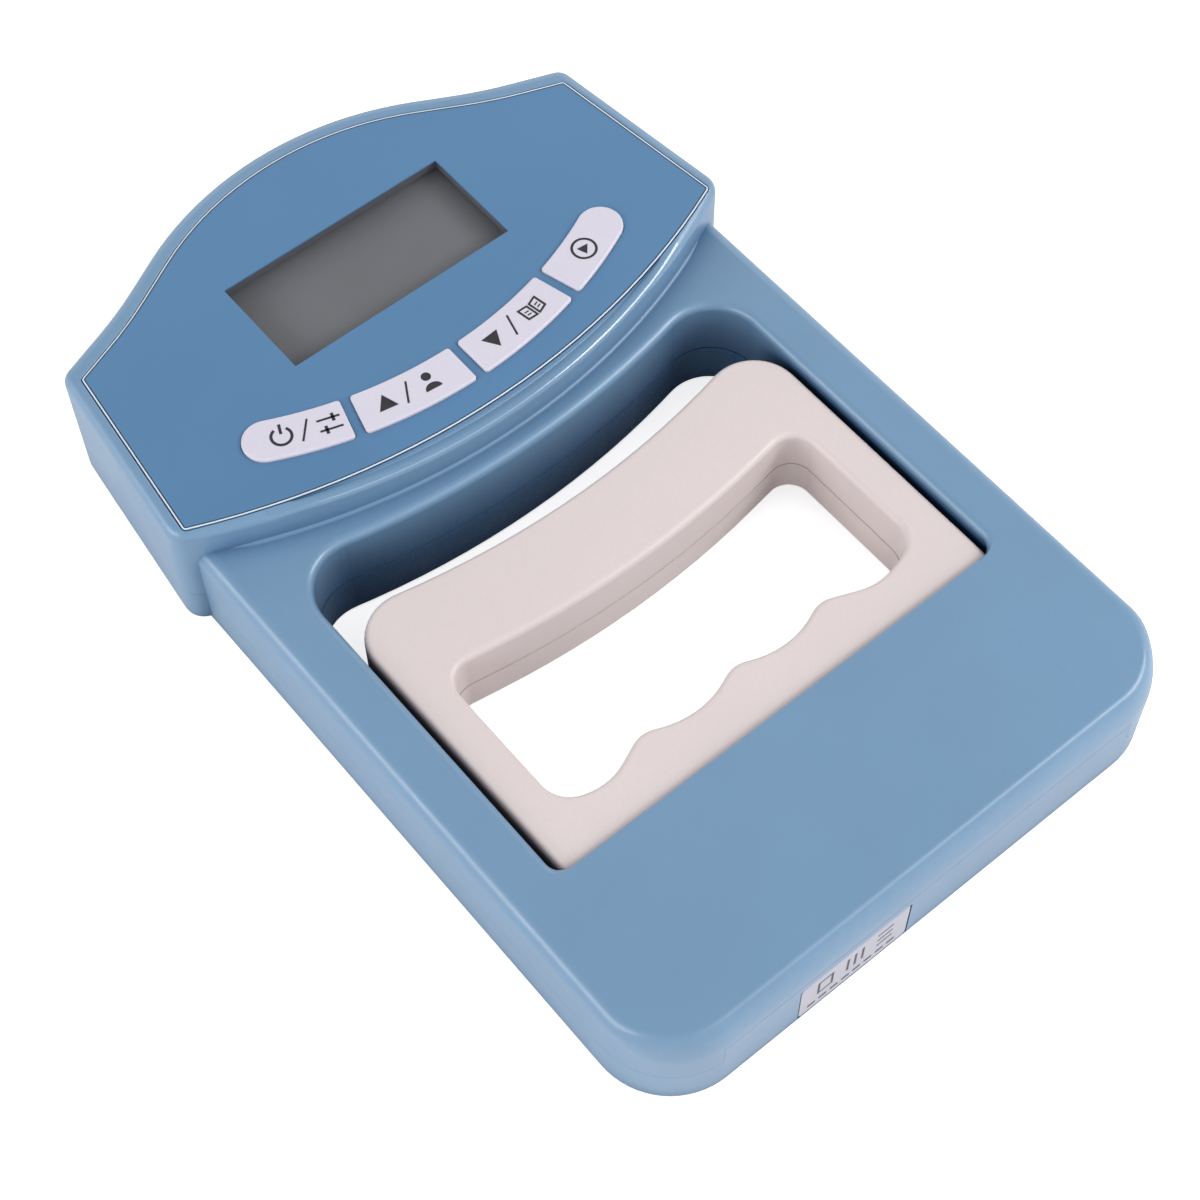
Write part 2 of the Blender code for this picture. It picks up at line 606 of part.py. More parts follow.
def add_battery_bay(rear):
    rear = join(rear, box(widened(BAY_X, 3), (BAY_Y[0] - 4.2, BAY_Y[1] + 4.8),
                          (FLOOR_T - EMBED, BAY_TOP + 1.2)))
    rear = cut(rear, box(BAY_X, BAY_Y, (-1, BAY_TOP)))
    rear = cut(rear, box(around(0, DOOR_HALF_W + GAP), widened((DOOR_Y0, DOOR_Y1), GAP), (-1, FLOOR_T)))
    for side in SIDES:                               # pockets for the door's hinge tabs
        rear = cut(rear, box(around(side * TAB_X, TAB_HALF_W + 0.4), (-1.75, BAY_Y[0] + 0.5),
                             (FLOOR_T - 0.05, 4.1)))
    latch_slot = box((-4.5, 4.5), (BAY_Y[1] - 0.5, DOOR_Y1 + GAP), (FLOOR_T - 0.5, 6.0))
    rear = cut(rear, latch_slot)
    contact_slot = box((BAY_X[0], BAY_X[0] + 2.4), (CONTACT_Y0, CONTACT_Y1), (BAY_TOP - 1, BAY_TOP + 3))
    return cut(rear, contact_slot)


def build_rear_housing():
    rear = rear_shell()
    rear = cut(rear, box((-WIN_HALF_W, WIN_HALF_W), SLIDE_Y, (FLOOR_T - 0.1, Z_PART + 5)))
    rear = cut(rear, flared(WINDOW, 0, Z_PART + 6, 1.0, up=False, low_scale=0.8, low_y=WIN_END + 1,
                            segments=2))
    for side in SIDES:
        rear = join(rear, box(on_side(side, *FOOT_STOP_X), FOOT_STOP_Y, (FLOOR_T - 0.4, REAR_Z1)))
    rear = add_rear_bosses(rear)
    rear = add_battery_bay(rear)
    label_recess = box(widened(LABEL_X, 0.3), (BODY_END - 1, BODY_END + 0.25), widened(LABEL_Z, 0.2))
    finish(cut(rear, label_recess), "rear_housing", "housing_blue", 30)


build_rear_housing()

# ---- panel, display and board --------------------------------------------------------------------
HOLDER_TOP = 26.2              # also the front face of the display
BOARD_OUTLINE = ((-44, -17, 2), (-28, -24.5, 6), (28, -24.5, 6), (44, -17, 2), (44, 27, 2), (-44, 27, 2))
CHIP_PROFILE = ((0, 19.0), (6.0, 19.0), (5.6, 18.2), (4.2, 17.5), (2.2, 17.15), (0, 17.05))
CHIP_AT = (8, 12, -0.12)


def build_panel():
    openings = [rect(around(0, LCD_HALF_W), (0, LCD_H), 0)]
    openings += [grown(outline, GAP) for outline, _ in KEYS.values()]
    finish(prism([PANEL] + openings, Z_HEAD - PANEL_T, Z_HEAD), "panel_overlay", "panel_film")


def build_display():
    finish(prism(rect((-28.5, 28.5), (-3, 26), 1.0), 26.6, 27.4), "display_window", "clear_lens")
    finish(prism(rect((-27.4, 27.4), (-2.1, 25.1), 0.6), 23.8, HOLDER_TOP), "lcd_panel", "display_grey")
    frame = [rect((-30.5, 30.5), (-5, 28), 1.0), rect((-27.8, 27.8), (-2.4, 25.4), 0.6)]
    finish(prism(frame, Z_BOARD1 + 0.2, HOLDER_TOP), "lcd_holder", "holder_black")
    finish(box((-25, 25), (-1.6, 1.2), (Z_BOARD1 + 0.15, 23.65)), "lcd_connector", "elastomer")


def build_board():
    holes = [circle(x, y, SCREW_HOLE_R, 8) for x, y in BOARD_BOSSES]
    finish(prism([rounded(BOARD_OUTLINE)] + holes, Z_BOARD0, Z_BOARD1), "main_board", "board_green")
    finish(turned(CHIP_PROFILE, 16, "Z", CHIP_AT), "controller_chip", "chip_black")


def build_key(name, outline, angle_deg):
    """A key with its flange, and the switch and plunger below it."""
    key = join(rolled(outline, 25.05, Z_HEAD + KEY_PROUD, top=0.45, segments=2),
               prism(grown(outline, 0.62), 25.9, 27.2))
    finish(key, "key_" + name, "key_white")
    x, y = on_key_arc(KEY_MID_R, math.radians(angle_deg))
    switch = cut(prism(rect(around(x, 3), around(y, 3), 0.5), Z_BOARD1 + 0.1, 24.1),
                 rod(x, y, 1.95, 22.8, 25, 12))
    finish(switch, "switch_" + name, "chip_black")
    finish(rod(x, y, 1.7, 23.4, 24.95, 12), "plunger_" + name, "key_white")


build_panel()
build_display()
build_board()
for key_name, (key_line, switch_angle) in KEYS.items():
    build_key(key_name, key_line, switch_angle)

# ---- battery bay ---------------------------------------------------------------------------------
CELL_R, CELL_L = 5.2, 44.5     # AAA cell
CELL_BASE_X, CELL_Z = 18.8, 8.0
LOWER_CELL_Y, UPPER_CELL_Y = 7.45, 18.55
CELL_PROFILE = ((0, CELL_L), (1.8, CELL_L), (1.8, CELL_L - 0.9), (4.6, CELL_L - 1.0),
                (CELL_R, CELL_L - 1.6), (CELL_R, 0.5), (4.7, 0), (0, 0))
CONTACT_X, CONTACT_Z, CONTACT_HALF_T = 26.15, (3.6, 12.4), 0.2
SPRING_X = (25.5, 19.25)       # wide end at the contact, narrow end at the cell
SPRING_R, SPRING_TAPER, SPRING_WIRE_R = 3.6, 1.5, 0.35
SPRING_TURNS, SPRING_STEPS = 3, 11   # steps are per turn
WIRE_R = 0.5
WIRES = {                      # x, y, z of the knots
    "red": ((-26.15, 7.5, 16.25), (-27.5, 7.0, 17.4), (-30.5, 5.5, 18.2), (-33, 4, 18.45)),
    "black": ((-26.15, 18.5, 16.25), (-27.5, 18.2, 17.4), (-30.5, 17.5, 18.2), (-33, 17, 18.45)),
}


def build_door():
    door = prism(rect(around(0, DOOR_HALF_W), (DOOR_Y0, DOOR_Y1), 1.0), 0, DOOR_T)
    for side in SIDES:                               # hinge tabs: a post and a toe
        tab_x = around(side * TAB_X, TAB_HALF_W)
        door = join(door, box(tab_x, (DOOR_Y0, 1.4), (DOOR_T - 0.3, 3.4)))
        door = join(door, box(tab_x, (-1.3, 1.0), (2.2, 3.4)))
    door = join(door, box((-4, 4), (24.6, 25.8), (DOOR_T - 0.3, 5.2)))   # latch
    for k in range(4):                               # thumb grooves
        door = cut(door, box(around(0, 7 - 0.8 * k), (19.0 + 1.6 * k, 19.7 + 1.6 * k), (-0.5, 0.4)))
    finish(door, "battery_door", "housing_blue")


def build_contact(name, x, y, tab):
    x_span = around(x, CONTACT_HALF_T)
    plate = box(x_span, y, CONTACT_Z)
    if tab:
        plate = join(plate, box(x_span, around((y[0] + y[1]) / 2, 1.5), (12.0, 15.8)))
    finish(plate, name, "nickel")


def build_spring(name, side, y):
    x0, x1 = (side * x for x in SPRING_X)
    points = []
    n = SPRING_TURNS * SPRING_STEPS
    for k in range(n + 1):
        t = k / n
        a = 2 * math.pi * SPRING_TURNS * t
        radius = SPRING_R - SPRING_TAPER * t
        points.append((x0 + (x1 - x0) * t, y + radius * math.cos(a), CELL_Z + radius * math.sin(a)))
    finish(tube(points, SPRING_WIRE_R), name, "nickel")


build_door()
finish(turned(CELL_PROFILE, 18, "-X", (CELL_BASE_X, LOWER_CELL_Y, CELL_Z)), "battery_lower", "cell_wrap")
finish(turned(CELL_PROFILE, 18, "X", (-CELL_BASE_X, UPPER_CELL_Y, CELL_Z)), "battery_upper", "cell_wrap")
build_contact("contact_positive", -CONTACT_X, (CONTACT_Y0, 11.0), True)
build_contact("contact_negative", -CONTACT_X, (15.0, CONTACT_Y1), True)
build_contact("contact_bridge", CONTACT_X, (3.5, 22.5), False)
build_spring("spring_lower", 1, LOWER_CELL_Y)
build_spring("spring_upper", -1, UPPER_CELL_Y)
for colour, wire_knots in WIRES.items():
    finish(tube(smooth_path(wire_knots), WIRE_R), "battery_wire_" + colour, "wire_" + colour)

# ---- grip: two half shells on a steel core -------------------------------------------------------
CORE_HALF_T = 1.25
CORE_Z = around(GRIP_SPLIT, CORE_HALF_T)
CORE_ROOM_Z = around(GRIP_SPLIT, CORE_HALF_T + GAP)
NECK_HALF_W = 20.0             # core's neck, out through the shells' hidden end
FOOT_Y = (-124.5, -121.5)      # bar across the end of the neck
BUTTON_PROFILE = ((0, 5.2), (3.6, 5.2), (4.2, 4.6), (4.2, 0), (0, 0))


def grip_shell(z0, z1, open_up):
    if open_up:
        shell = rolled(GRIP, z0, z1, bottom=1.0, segments=2)
        cavity_z = (z0 + GRIP_WALL, z1 + 1)
        hole = flared(HOLE, z0, z1 + 2, 1.1, up=False, segments=2)
    else:
        shell = rolled(GRIP, z0, z1, top=1.0, segments=2)
        cavity_z = (z0 - 1, z1 - GRIP_WALL)
        hole = flared(HOLE, z0 - 2, z1, 1.3, segments=2)
    shell = cut(shell, prism([grown(GRIP, -GRIP_WALL), grown(HOLE, GRIP_WALL)], *cavity_z))
    shell = cut(shell, hole)
    return cut(shell, box(around(0, NECK_HALF_W + 0.4), (GRIP_END - 2, GRIP_END + GRIP_WALL + 1),
                          CORE_ROOM_Z))


def build_grip_front():
    shell = grip_shell(GRIP_SPLIT + 0.1, GRIP_Z1, False)
    for x, y in GRIP_BOSSES:
        shell = join(shell, rod(x, y, 2.8, CORE_ROOM_Z[1], GRIP_Z1 - GRIP_WALL + EMBED, 12))
        shell = cut(shell, rod(x, y, 1.1, 12, 18.6, 8))
    finish(shell, "grip_front", "grip_white", 30)


def build_grip_rear():
    shell = grip_shell(GRIP_Z0, GRIP_SPLIT - 0.1, True)
    for x, y in GRIP_BOSSES:
        shell = join(shell, rod(x, y, 3.2, GRIP_Z0 + GRIP_WALL - EMBED, CORE_ROOM_Z[0], 12))
        shell = cut(shell, rod(x, y, 2.5, GRIP_Z0 - 1, GRIP_BORE_TOP, 12))
        shell = cut(shell, rod(x, y, 1.3, 5, 11, 8))
    finish(shell, "grip_rear", "grip_white", 30)


def build_grip_core():
    inset = GRIP_WALL + 0.5
    holes = [circle(x, y, SCREW_HOLE_R, 8) for x, y in GRIP_BOSSES]
    core = prism([grown(GRIP, -inset), grown(HOLE, inset)] + holes, *CORE_Z)
    core = join(core, box(around(0, NECK_HALF_W), (-123.0, GRIP_END + 4), CORE_Z))
    core = join(core, box((-26.2, 26.2), FOOT_Y, CORE_Z))
    finish(core, "grip_core", "steel")


def build_load_button():
    """Button slotted over the middle of the core's foot."""
    button = turned(BUTTON_PROFILE, 16, "-Y", (0, -121.1, GRIP_SPLIT))
    slot = box((-6, 6), (FOOT_Y[0] - 0.2, -120.0), widened(CORE_Z, 0.2))
    finish(cut(button, slot), "load_button", "zinc")


build_grip_front()
build_grip_rear()
build_grip_core()
build_load_button()

# ---- load cell -----------------------------------------------------------------------------------
BEAM_Y, BEAM_Z = (-137.5, -127.5), (6.0, 18.0)
BEAM_HALF_L = 36.0
BEAM_MID_Z = sum(BEAM_Z) / 2
ARM_X, BOLT_X = 14.0, 31.0     # thinned arms that bend; bolts
MOUNT_Y = (BODY_END + WALL + GAP, BEAM_Y[0] - GAP)
MOUNT_HOLE_Y = (-143.4, -125.4)   # stops short of the mount's outer face
PAD_X, PAD_Y = 24.0, -141.2    # inner edges of the mount's end pads, face between them
BOLT_PROFILE = ((0, 1.6), (1.5, 1.6), (1.5, 3.6), (3.1, 3.6), (3.4, 3.2), (3.4, 0), (2.0, 0),
                (2.0, -13.0), (0, -13.0))
CABLE_R = 1.15
CABLE_KNOTS = (                # x, y, z
    (-37.6, -129.5, 9.0), (-43.0, -126.5, 9.0), (-50.5, -122.5, 9.0), (-55.1, -114.0, 9.0),
    (-55.1, -98.0, 9.0), (-55.1, -66.0, 9.0), (-55.1, -40.0, 9.0), (-54.6, -24.0, 9.5),
    (-48.0, -14.0, 13.0), (-41.0, -9.0, 16.8), (-38.5, -7.0, 17.6),
)


def bolt_hole(side, radius, y):
    return crosswise(circle(0, 0, radius, 12), side * BOLT_X, y, BEAM_MID_Z)


def build_beam():
    beam = prism(rect(around(0, BEAM_HALF_L), BEAM_Y, 0.8), *BEAM_Z)
    for side in SIDES:
        beam = cut(beam, rod(side * ARM_X, sum(BEAM_Y) / 2, 3.4, 0, 25))
        beam = cut(beam, bolt_hole(side, 2.25, (-142.0, -122.0)))
    finish(beam, "load_cell", "aluminium")


def build_mount():
    y0, y1 = MOUNT_Y
    corners = [(-BEAM_HALF_L, y0), (BEAM_HALF_L, y0), (BEAM_HALF_L, y1), (PAD_X, y1),
               (PAD_X, PAD_Y), (-PAD_X, PAD_Y), (-PAD_X, y1), (-BEAM_HALF_L, y1)]
    mount = prism(rounded([(x, y, 0) for x, y in corners]), 4.0, BEAM_Z[1])
    for side in SIDES:
        mount = cut(mount, bolt_hole(side, 2.15, MOUNT_HOLE_Y))
    finish(mount, "load_cell_mount", "steel")


def build_bolt_and_gauge(side, name):
    face = BEAM_Y[1]
    bolt = turned(BOLT_PROFILE, 14, "Y", (side * BOLT_X, face + 0.15, BEAM_MID_Z))
    finish(bolt, "load_cell_bolt_" + name, "zinc")
    gauge = box(around(side * ARM_X, 3.5), (face + 0.1, face + 0.4), around(BEAM_MID_Z, 2.5))
    finish(gauge, "strain_gauge_" + name, "gauge_amber")


build_beam()
build_mount()
for bolt_side, side_name in zip(SIDES, ("left", "right")):
    build_bolt_and_gauge(bolt_side, side_name)
finish(tube(smooth_path(CABLE_KNOTS), CABLE_R), "load_cell_cable", "cable_grey")

# ---- fasteners and label -------------------------------------------------------------------------
SCREWS = (                     # name, places, seat z, head radius, head height, shank radius, length
    ("housing_screw", BOSSES, BORE_TOP - SEAT_GAP, 2.7, 2.0, 1.35, 14.0),
    ("board_screw", BOARD_BOSSES, Z_BOARD0 - SEAT_GAP, 2.2, 1.5, 1.0, 7.0),
    ("grip_screw", GRIP_BOSSES, GRIP_BORE_TOP - SEAT_GAP, 2.2, 1.5, 0.95, 11.6),
)


def build_screw(name, x, y, z, head_r, head_h, shank_r, length):
    """Cross-drive pan-head screw pointing up from the back; z is the seat under the head."""
    profile = [(0, length), (shank_r * 0.35, length), (shank_r, length - 1.6), (shank_r, 0),
               (head_r, 0), (head_r, -head_h * 0.6), (head_r * 0.7, -head_h), (0, -head_h)]
    ob = turned(profile, 10, "Z", (x, y, z))
    arm, slot = head_r * 0.9, 0.45
    for w, h in ((arm, slot), (slot, arm)):
        ob = cut(ob, box(around(x, w / 2), around(y, h / 2), (z - head_h - 0.5, z - head_h * 0.45)))
    finish(ob, name, "zinc")


for family, places, seat_z, *sizes in SCREWS:
    for i, (x, y) in enumerate(places, 1):
        build_screw(f"{family}_{i}", x, y, seat_z, *sizes)
finish(box(LABEL_X, (BODY_END + 0.02, BODY_END + 0.17), LABEL_Z), "rating_label", "label_white")
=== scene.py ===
"""Looks of a hand dynamometer: housing, overlay, keys, grip, battery bay and their materials.

Helpers take millimetres. y is measured from the lower edge of the display opening, and DATUM_Y
moves it to the frame's origin. The back rests on z = 0 and the display end points along +Y.
"front" is the +z side with the display, "low" is towards -y, the palm end.
"""
import bpy
import bmesh
from math import acos, atan, atan2, ceil, cos, pi, radians, sin, sqrt, tan
from mathutils import Vector, Matrix


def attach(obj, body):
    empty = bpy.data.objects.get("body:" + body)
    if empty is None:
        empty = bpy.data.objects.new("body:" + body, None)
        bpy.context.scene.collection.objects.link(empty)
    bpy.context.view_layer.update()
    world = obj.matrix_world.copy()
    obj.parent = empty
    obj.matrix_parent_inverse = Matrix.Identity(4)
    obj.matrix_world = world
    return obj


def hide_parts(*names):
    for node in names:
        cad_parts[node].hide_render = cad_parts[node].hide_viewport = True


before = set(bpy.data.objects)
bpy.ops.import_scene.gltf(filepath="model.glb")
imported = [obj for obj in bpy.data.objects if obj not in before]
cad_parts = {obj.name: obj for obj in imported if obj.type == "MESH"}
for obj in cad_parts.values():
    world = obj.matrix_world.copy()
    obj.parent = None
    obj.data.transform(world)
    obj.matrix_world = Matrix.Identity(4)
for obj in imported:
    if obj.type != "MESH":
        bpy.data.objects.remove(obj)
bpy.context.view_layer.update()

MM = 0.001
DATUM_Y = 49.8
SEAM = 0.05                     # gap between two closed shells

# housing
BODY_HALF_W, BODY_END, BODY_CORNER = 60.9, -146.4, 15.0
Z_PART, Z_TONGUE, TONGUE_HALF_W = 10.0, 15.2, 47.0      # parting plane, raised at the palm end
FRONT_Z0, REAR_Z1 = Z_PART + SEAM / 2, Z_PART - SEAM / 2
Z_FACE, Z_HEAD = 23.0, 30.0     # front of the body and of the head
WALL, FACE_T, HEAD_T, PALM_T, FLOOR_T = 2.2, 2.2, 2.4, 1.5, 2.0
EDGE_R, HEAD_R, BACK_R, HEAD_BACK_R = 3.0, 2.2, 1.5, 3.0
PALM_ROLL = 7.3                 # depth of the front edge's roll at the palm end
COVE, COVE_HALF = 1.3, 50.0     # dip of the head's low rim and its half width
RESAMPLE = 2.2                  # longest edge of the head outline where its rim is shaped

# head outline, shared by the housing and the overlay
FLANK_X, FLANK_SLOPE = 59.46, -0.110        # half width at y = 0 and its change with y
BELL_Y, BELL_SLOPE, BELL_R = 51.26, 0.541, 62.0
KNEE_X, KNEE_R, SHOULDER_SLOPE = 43.4, 86.0, 0.375

# window in the body and the grip that moves in it
WIN_HALF_W, WIN_END, WIN_APEX, WIN_TOP_R, WIN_WALL_END = 50.3, -107.5, -37.0, 175.0, -118.0
FLARE = 1.8
GRIP_HALF_W, GRIP_APEX, GRIP_TOP_R, GRIP_END = 49.1, -50.0, 172.0, -117.0
GRIP_Z0, GRIP_Z1, GRIP_SPLIT, GRIP_WALL = 4.2, 21.2, 12.0, 2.0
HOLE_HALF_W, HOLE_APEX, HOLE_TOP_R = 41.2, -68.3, 187.0
CUSPS, CUSP_Y, FINGER_Y = (-22.0, -0.8, 19.4), -94.9, -99.4

# display and keys
LCD_W, LCD_H = 50.0, 22.9
KEY_ARC_Y, KEY_R0, KEY_R1, KEY_CORNER = 70.2, 85.0, 94.0, 0.7
KEY_TOP = Z_HEAD + 0.66

# battery bay and door
BAY, BAY_TOP = (-26.5, 26.5, 2.0, 24.0), 13.4           # x0, x1, y0, y1
DOOR_Y0, DOOR_Y1, DOOR_HALF_W, DOOR_T = 0.0, 27.0, 27.7, 1.8
HINGE_X = 15.0                                          # centre of each low tab of the door


def both_sides(*places):
    """Each (x, y) place with its mirror image, the -x one first."""
    return [(side * x, y) for x, y in places for side in (-1, 1)]


BOSSES = both_sides((50.0, 11.0), (23.0, 34.0), (49.5, -134.5))
BOARD_BOSSES = both_sides((40.0, 23.0), (40.0, 1.5))
BOARD_Z1 = 20.6
GRIP_BOSSES = both_sides((33.0, -56.5), (33.0, -110.6))

scene = bpy.context.scene
work = bpy.data.collections.new("visual")
scene.collection.children.link(work)


# ==== outlines: lists of (point, outward normal) ===================================================
def rounded(corners, tolerance=0.02):
    """Outline through (x, y, radius) corners; radius 0 gives a mitred corner."""
    outline = []
    for i, (x, y, radius) in enumerate(corners):
        corner = Vector((x, y))
        before, after = Vector(corners[i - 1][:2]), Vector(corners[(i + 1) % len(corners)][:2])
        back, onward = (before - corner).normalized(), (after - corner).normalized()
        bisector = (back + onward).normalized()
        half = back.angle(onward) / 2
        sign = 1.0 if (corner - before).cross(after - corner) > 0 else -1.0
        if radius <= 0:
            outline.append((corner, -bisector * sign / sin(half)))
            continue
        centre = corner + bisector * (radius / sin(half))
        start = corner + back * (radius / tan(half)) - centre
        end = corner + onward * (radius / tan(half)) - centre
        first = atan2(start.y, start.x)
        turn = (atan2(end.y, end.x) - first + pi) % (2 * pi) - pi
        steps = max(2, ceil(abs(turn) / (2 * acos(max(0.0, 1 - tolerance / radius)))))
        for k in range(steps + 1):
            angle = first + turn * k / steps
            ray = Vector((cos(angle), sin(angle)))
            outline.append((centre + ray * radius, ray * sign))
    return [spot for k, spot in enumerate(outline) if (spot[0] - outline[k - 1][0]).length > 0.02]


def grown(outline, outset):
    return [(point + normal * outset, normal) for point, normal in outline]


def mirrored(outline):
    return [(Vector((-p.x, p.y)), Vector((-n.x, n.y))) for p, n in reversed(outline)]


def rect(x0, x1, y0, y1, radius=0.0):
    return rounded([(x0, y0, radius), (x1, y0, radius), (x1, y1, radius), (x0, y1, radius)])


def circle(x, y, radius, count=40):
    return [(Vector((x + radius * cos(a), y + radius * sin(a))), Vector((cos(a), sin(a))))
            for a in (2 * pi * k / count for k in range(count))]


def arc(centre, radius, first, last, steps, facing=1.0):
    outline = []
    for k in range(steps + 1):
        angle = first + (last - first) * k / steps
        ray = Vector((cos(angle), sin(angle)))
        outline.append((centre + ray * radius, ray * facing))
    return outline


def edges(outline):
    points = [point for point, _ in outline]
    return zip(points, points[1:] + points[:1])


def resampled(outline, step):
    """The same outline with no edge longer than `step`."""
    out = []
    for (point, normal), (end, end_normal) in zip(outline, outline[1:] + outline[:1]):
        count = max(1, ceil((end - point).length / step))
        unit = abs(normal.length - 1) < 1e-3 and abs(end_normal.length - 1) < 1e-3
        for i in range(count):
            between = normal.lerp(end_normal, i / count)
            out.append((point.lerp(end, i / count),
                        between / max(1e-9, between.length) if unit else normal))
    return out


def sagged(half_w, apex, radius, reach, corner, base, base_corner):
    """Corners of a plan with a straight low side and a shallow V of large radius as its top."""
    root = sqrt(radius ** 2 - reach ** 2)
    slope, y_reach = reach / root, apex + radius - root
    y_corner = y_reach + slope * (half_w - reach)
    return [(-half_w, base, base_corner), (half_w, base, base_corner),
            (half_w, y_corner, corner), (0.0, y_reach - slope * reach, radius),
            (-half_w, y_corner, corner)]


def head(side, top, low_y, low_slope, low_r, corner_r, shoulder_r):
    """Outline of the bell-shaped head, widened by `side` and raised by `top`."""
    def flank_x(y):
        return FLANK_X + side + FLANK_SLOPE * y

    bell_y = BELL_Y + top / cos(atan(BELL_SLOPE))
    knee_y = bell_y - BELL_SLOPE * KNEE_X
    shoulder_x, low_x = 57.0, 61.0                  # first guesses, refined onto the flank
    for _ in range(4):
        shoulder_y = knee_y - SHOULDER_SLOPE * (shoulder_x - KNEE_X)
        shoulder_x = flank_x(shoulder_y)
    for _ in range(8):
        corner_y = low_y + low_slope * low_x
        low_x = flank_x(corner_y)
    return rounded([
        (0.0, low_y, low_r), (low_x, corner_y, corner_r), (shoulder_x, shoulder_y, shoulder_r),
        (KNEE_X, knee_y, KNEE_R), (0.0, bell_y, BELL_R + top), (-KNEE_X, knee_y, KNEE_R),
        (-shoulder_x, shoulder_y, shoulder_r), (-low_x, corner_y, corner_r)])


def finger_window():
    """Opening of the grip: sagged top, low side scalloped by the cusps between the fingers."""
    top = sagged(HOLE_HALF_W, HOLE_APEX, HOLE_TOP_R, reach=30.0, corner=4.5, base=0,
                 base_corner=0)[2:]
    low = [(-HOLE_HALF_W, -96.4, 6.0), (-32.3, FINGER_Y, 12.0)]
    for left, right in zip(CUSPS, CUSPS[1:]):
        low += [(left, CUSP_Y, 6.0), ((left + right) / 2, FINGER_Y, 18.0)]
    low += [(CUSPS[-1], CUSP_Y, 6.0), (30.2, FINGER_Y, 12.0), (HOLE_HALF_W, -96.4, 6.0)]
    return rounded(low + top)


def key_plan(start, end, round_end):
    """Key between two angles, in degrees from straight down, positive to the right."""
    start, end = radians(start), radians(end)
    centre, down = Vector((0.0, KEY_ARC_Y)), -pi / 2
    outer_lap, inner_lap = KEY_CORNER / KEY_R1, KEY_CORNER / KEY_R0     # corner radius as an angle

    def spot(radius, angle):
        return Vector((radius * sin(angle), KEY_ARC_Y - radius * cos(angle)))

    def corner(radius, angle, side, quarter):
        first = side + down + quarter * pi / 2
        return arc(spot(radius, angle), KEY_CORNER, first, first + pi / 2, 5)

    outer_end = end if round_end else end - outer_lap
    inner_end = end if round_end else end - inner_lap
    outline = arc(centre, KEY_R1, start + outer_lap + down, outer_end + down, 26)
    if round_end:
        outline += arc(spot((KEY_R0 + KEY_R1) / 2, end), (KEY_R1 - KEY_R0) / 2,
                       down + end, down + end + pi, 24)[1:-1]
    else:
        outline += corner(KEY_R1 - KEY_CORNER, end - outer_lap, end, 0)
        outline += corner(KEY_R0 + KEY_CORNER, end - inner_lap, end, 1)
    outline += arc(centre, KEY_R0, inner_end + down, start + inner_lap + down, 26, facing=-1.0)
    outline += corner(KEY_R0 + KEY_CORNER, start + inner_lap, start, 2)
    outline += corner(KEY_R1 - KEY_CORNER, start + outer_lap, start, 3)
    clean = []
    for point, normal in outline:
        if not clean or (point - clean[-1][0]).length > 0.01:
            clean.append((point, normal))
    if (clean[0][0] - clean[-1][0]).length < 0.01:
        clean.pop()
    return clean


BODY = rounded([(-BODY_HALF_W, BODY_END, BODY_CORNER), (BODY_HALF_W, BODY_END, BODY_CORNER),
                (BODY_HALF_W, -8.0, 0), (-BODY_HALF_W, -8.0, 0)])
HEAD = head(side=2.88, top=3.9, low_y=-48.4, low_slope=0.50, low_r=133.0, corner_r=4.0,
            shoulder_r=3.2)
PANEL = head(side=0.0, top=0.0, low_y=-43.2, low_slope=0.4365, low_r=150.5, corner_r=0.8,
             shoulder_r=0.8)
WINDOW = rounded(sagged(WIN_HALF_W, WIN_APEX, WIN_TOP_R, reach=40.0, corner=9.5, base=WIN_END,
                        base_corner=3.0))
# solid left round the window when the housing is hollowed
GUIDE = rounded(sagged(WIN_HALF_W + 2, WIN_APEX + 2, WIN_TOP_R - 2, reach=40.0, corner=11.5,
                       base=WIN_WALL_END, base_corner=1.0))
GRIP = rounded(sagged(GRIP_HALF_W, GRIP_APEX, GRIP_TOP_R, reach=38.0, corner=9.5, base=GRIP_END,
                      base_corner=3.2))
HOLE = finger_window()
KEY_START = key_plan(16.05, 25.87, round_end=True)
KEY_DOWN = key_plan(0.64, 14.75, round_end=False)
KEYS = {"power": mirrored(KEY_START), "up": mirrored(KEY_DOWN), "down": KEY_DOWN,
        "start": KEY_START}


# ==== mesh helpers =================================================================================
def add(name, data, at=(0, 0, 0)):
    ob = bpy.data.objects.new(name, data)
    ob.location = at
    work.objects.link(ob)
    return ob


def to_mesh(bm, name="tool"):
    mesh = bpy.data.meshes.new(name)
    bm.to_mesh(mesh)
    bm.free()
    return mesh


def settle(ob, merge_flat=False):
    """Replace an object by its evaluated mesh."""
    bpy.context.view_layer.update()
    evaluated = ob.evaluated_get(bpy.context.evaluated_depsgraph_get())
    mesh = bpy.data.meshes.new_from_object(evaluated)
    matrix, name = ob.matrix_world.copy(), ob.name
    bpy.data.objects.remove(ob, do_unlink=True)
    bm = bmesh.new()
    bm.from_mesh(mesh)
    bmesh.ops.remove_doubles(bm, verts=bm.verts, dist=2e-6)
    if merge_flat:
        bmesh.ops.dissolve_limit(bm, angle_limit=0.0008, verts=bm.verts, edges=bm.edges)
    bm.to_mesh(mesh)
    bm.free()
    settled = add(name, mesh)
    settled.matrix_world = matrix
    return settled


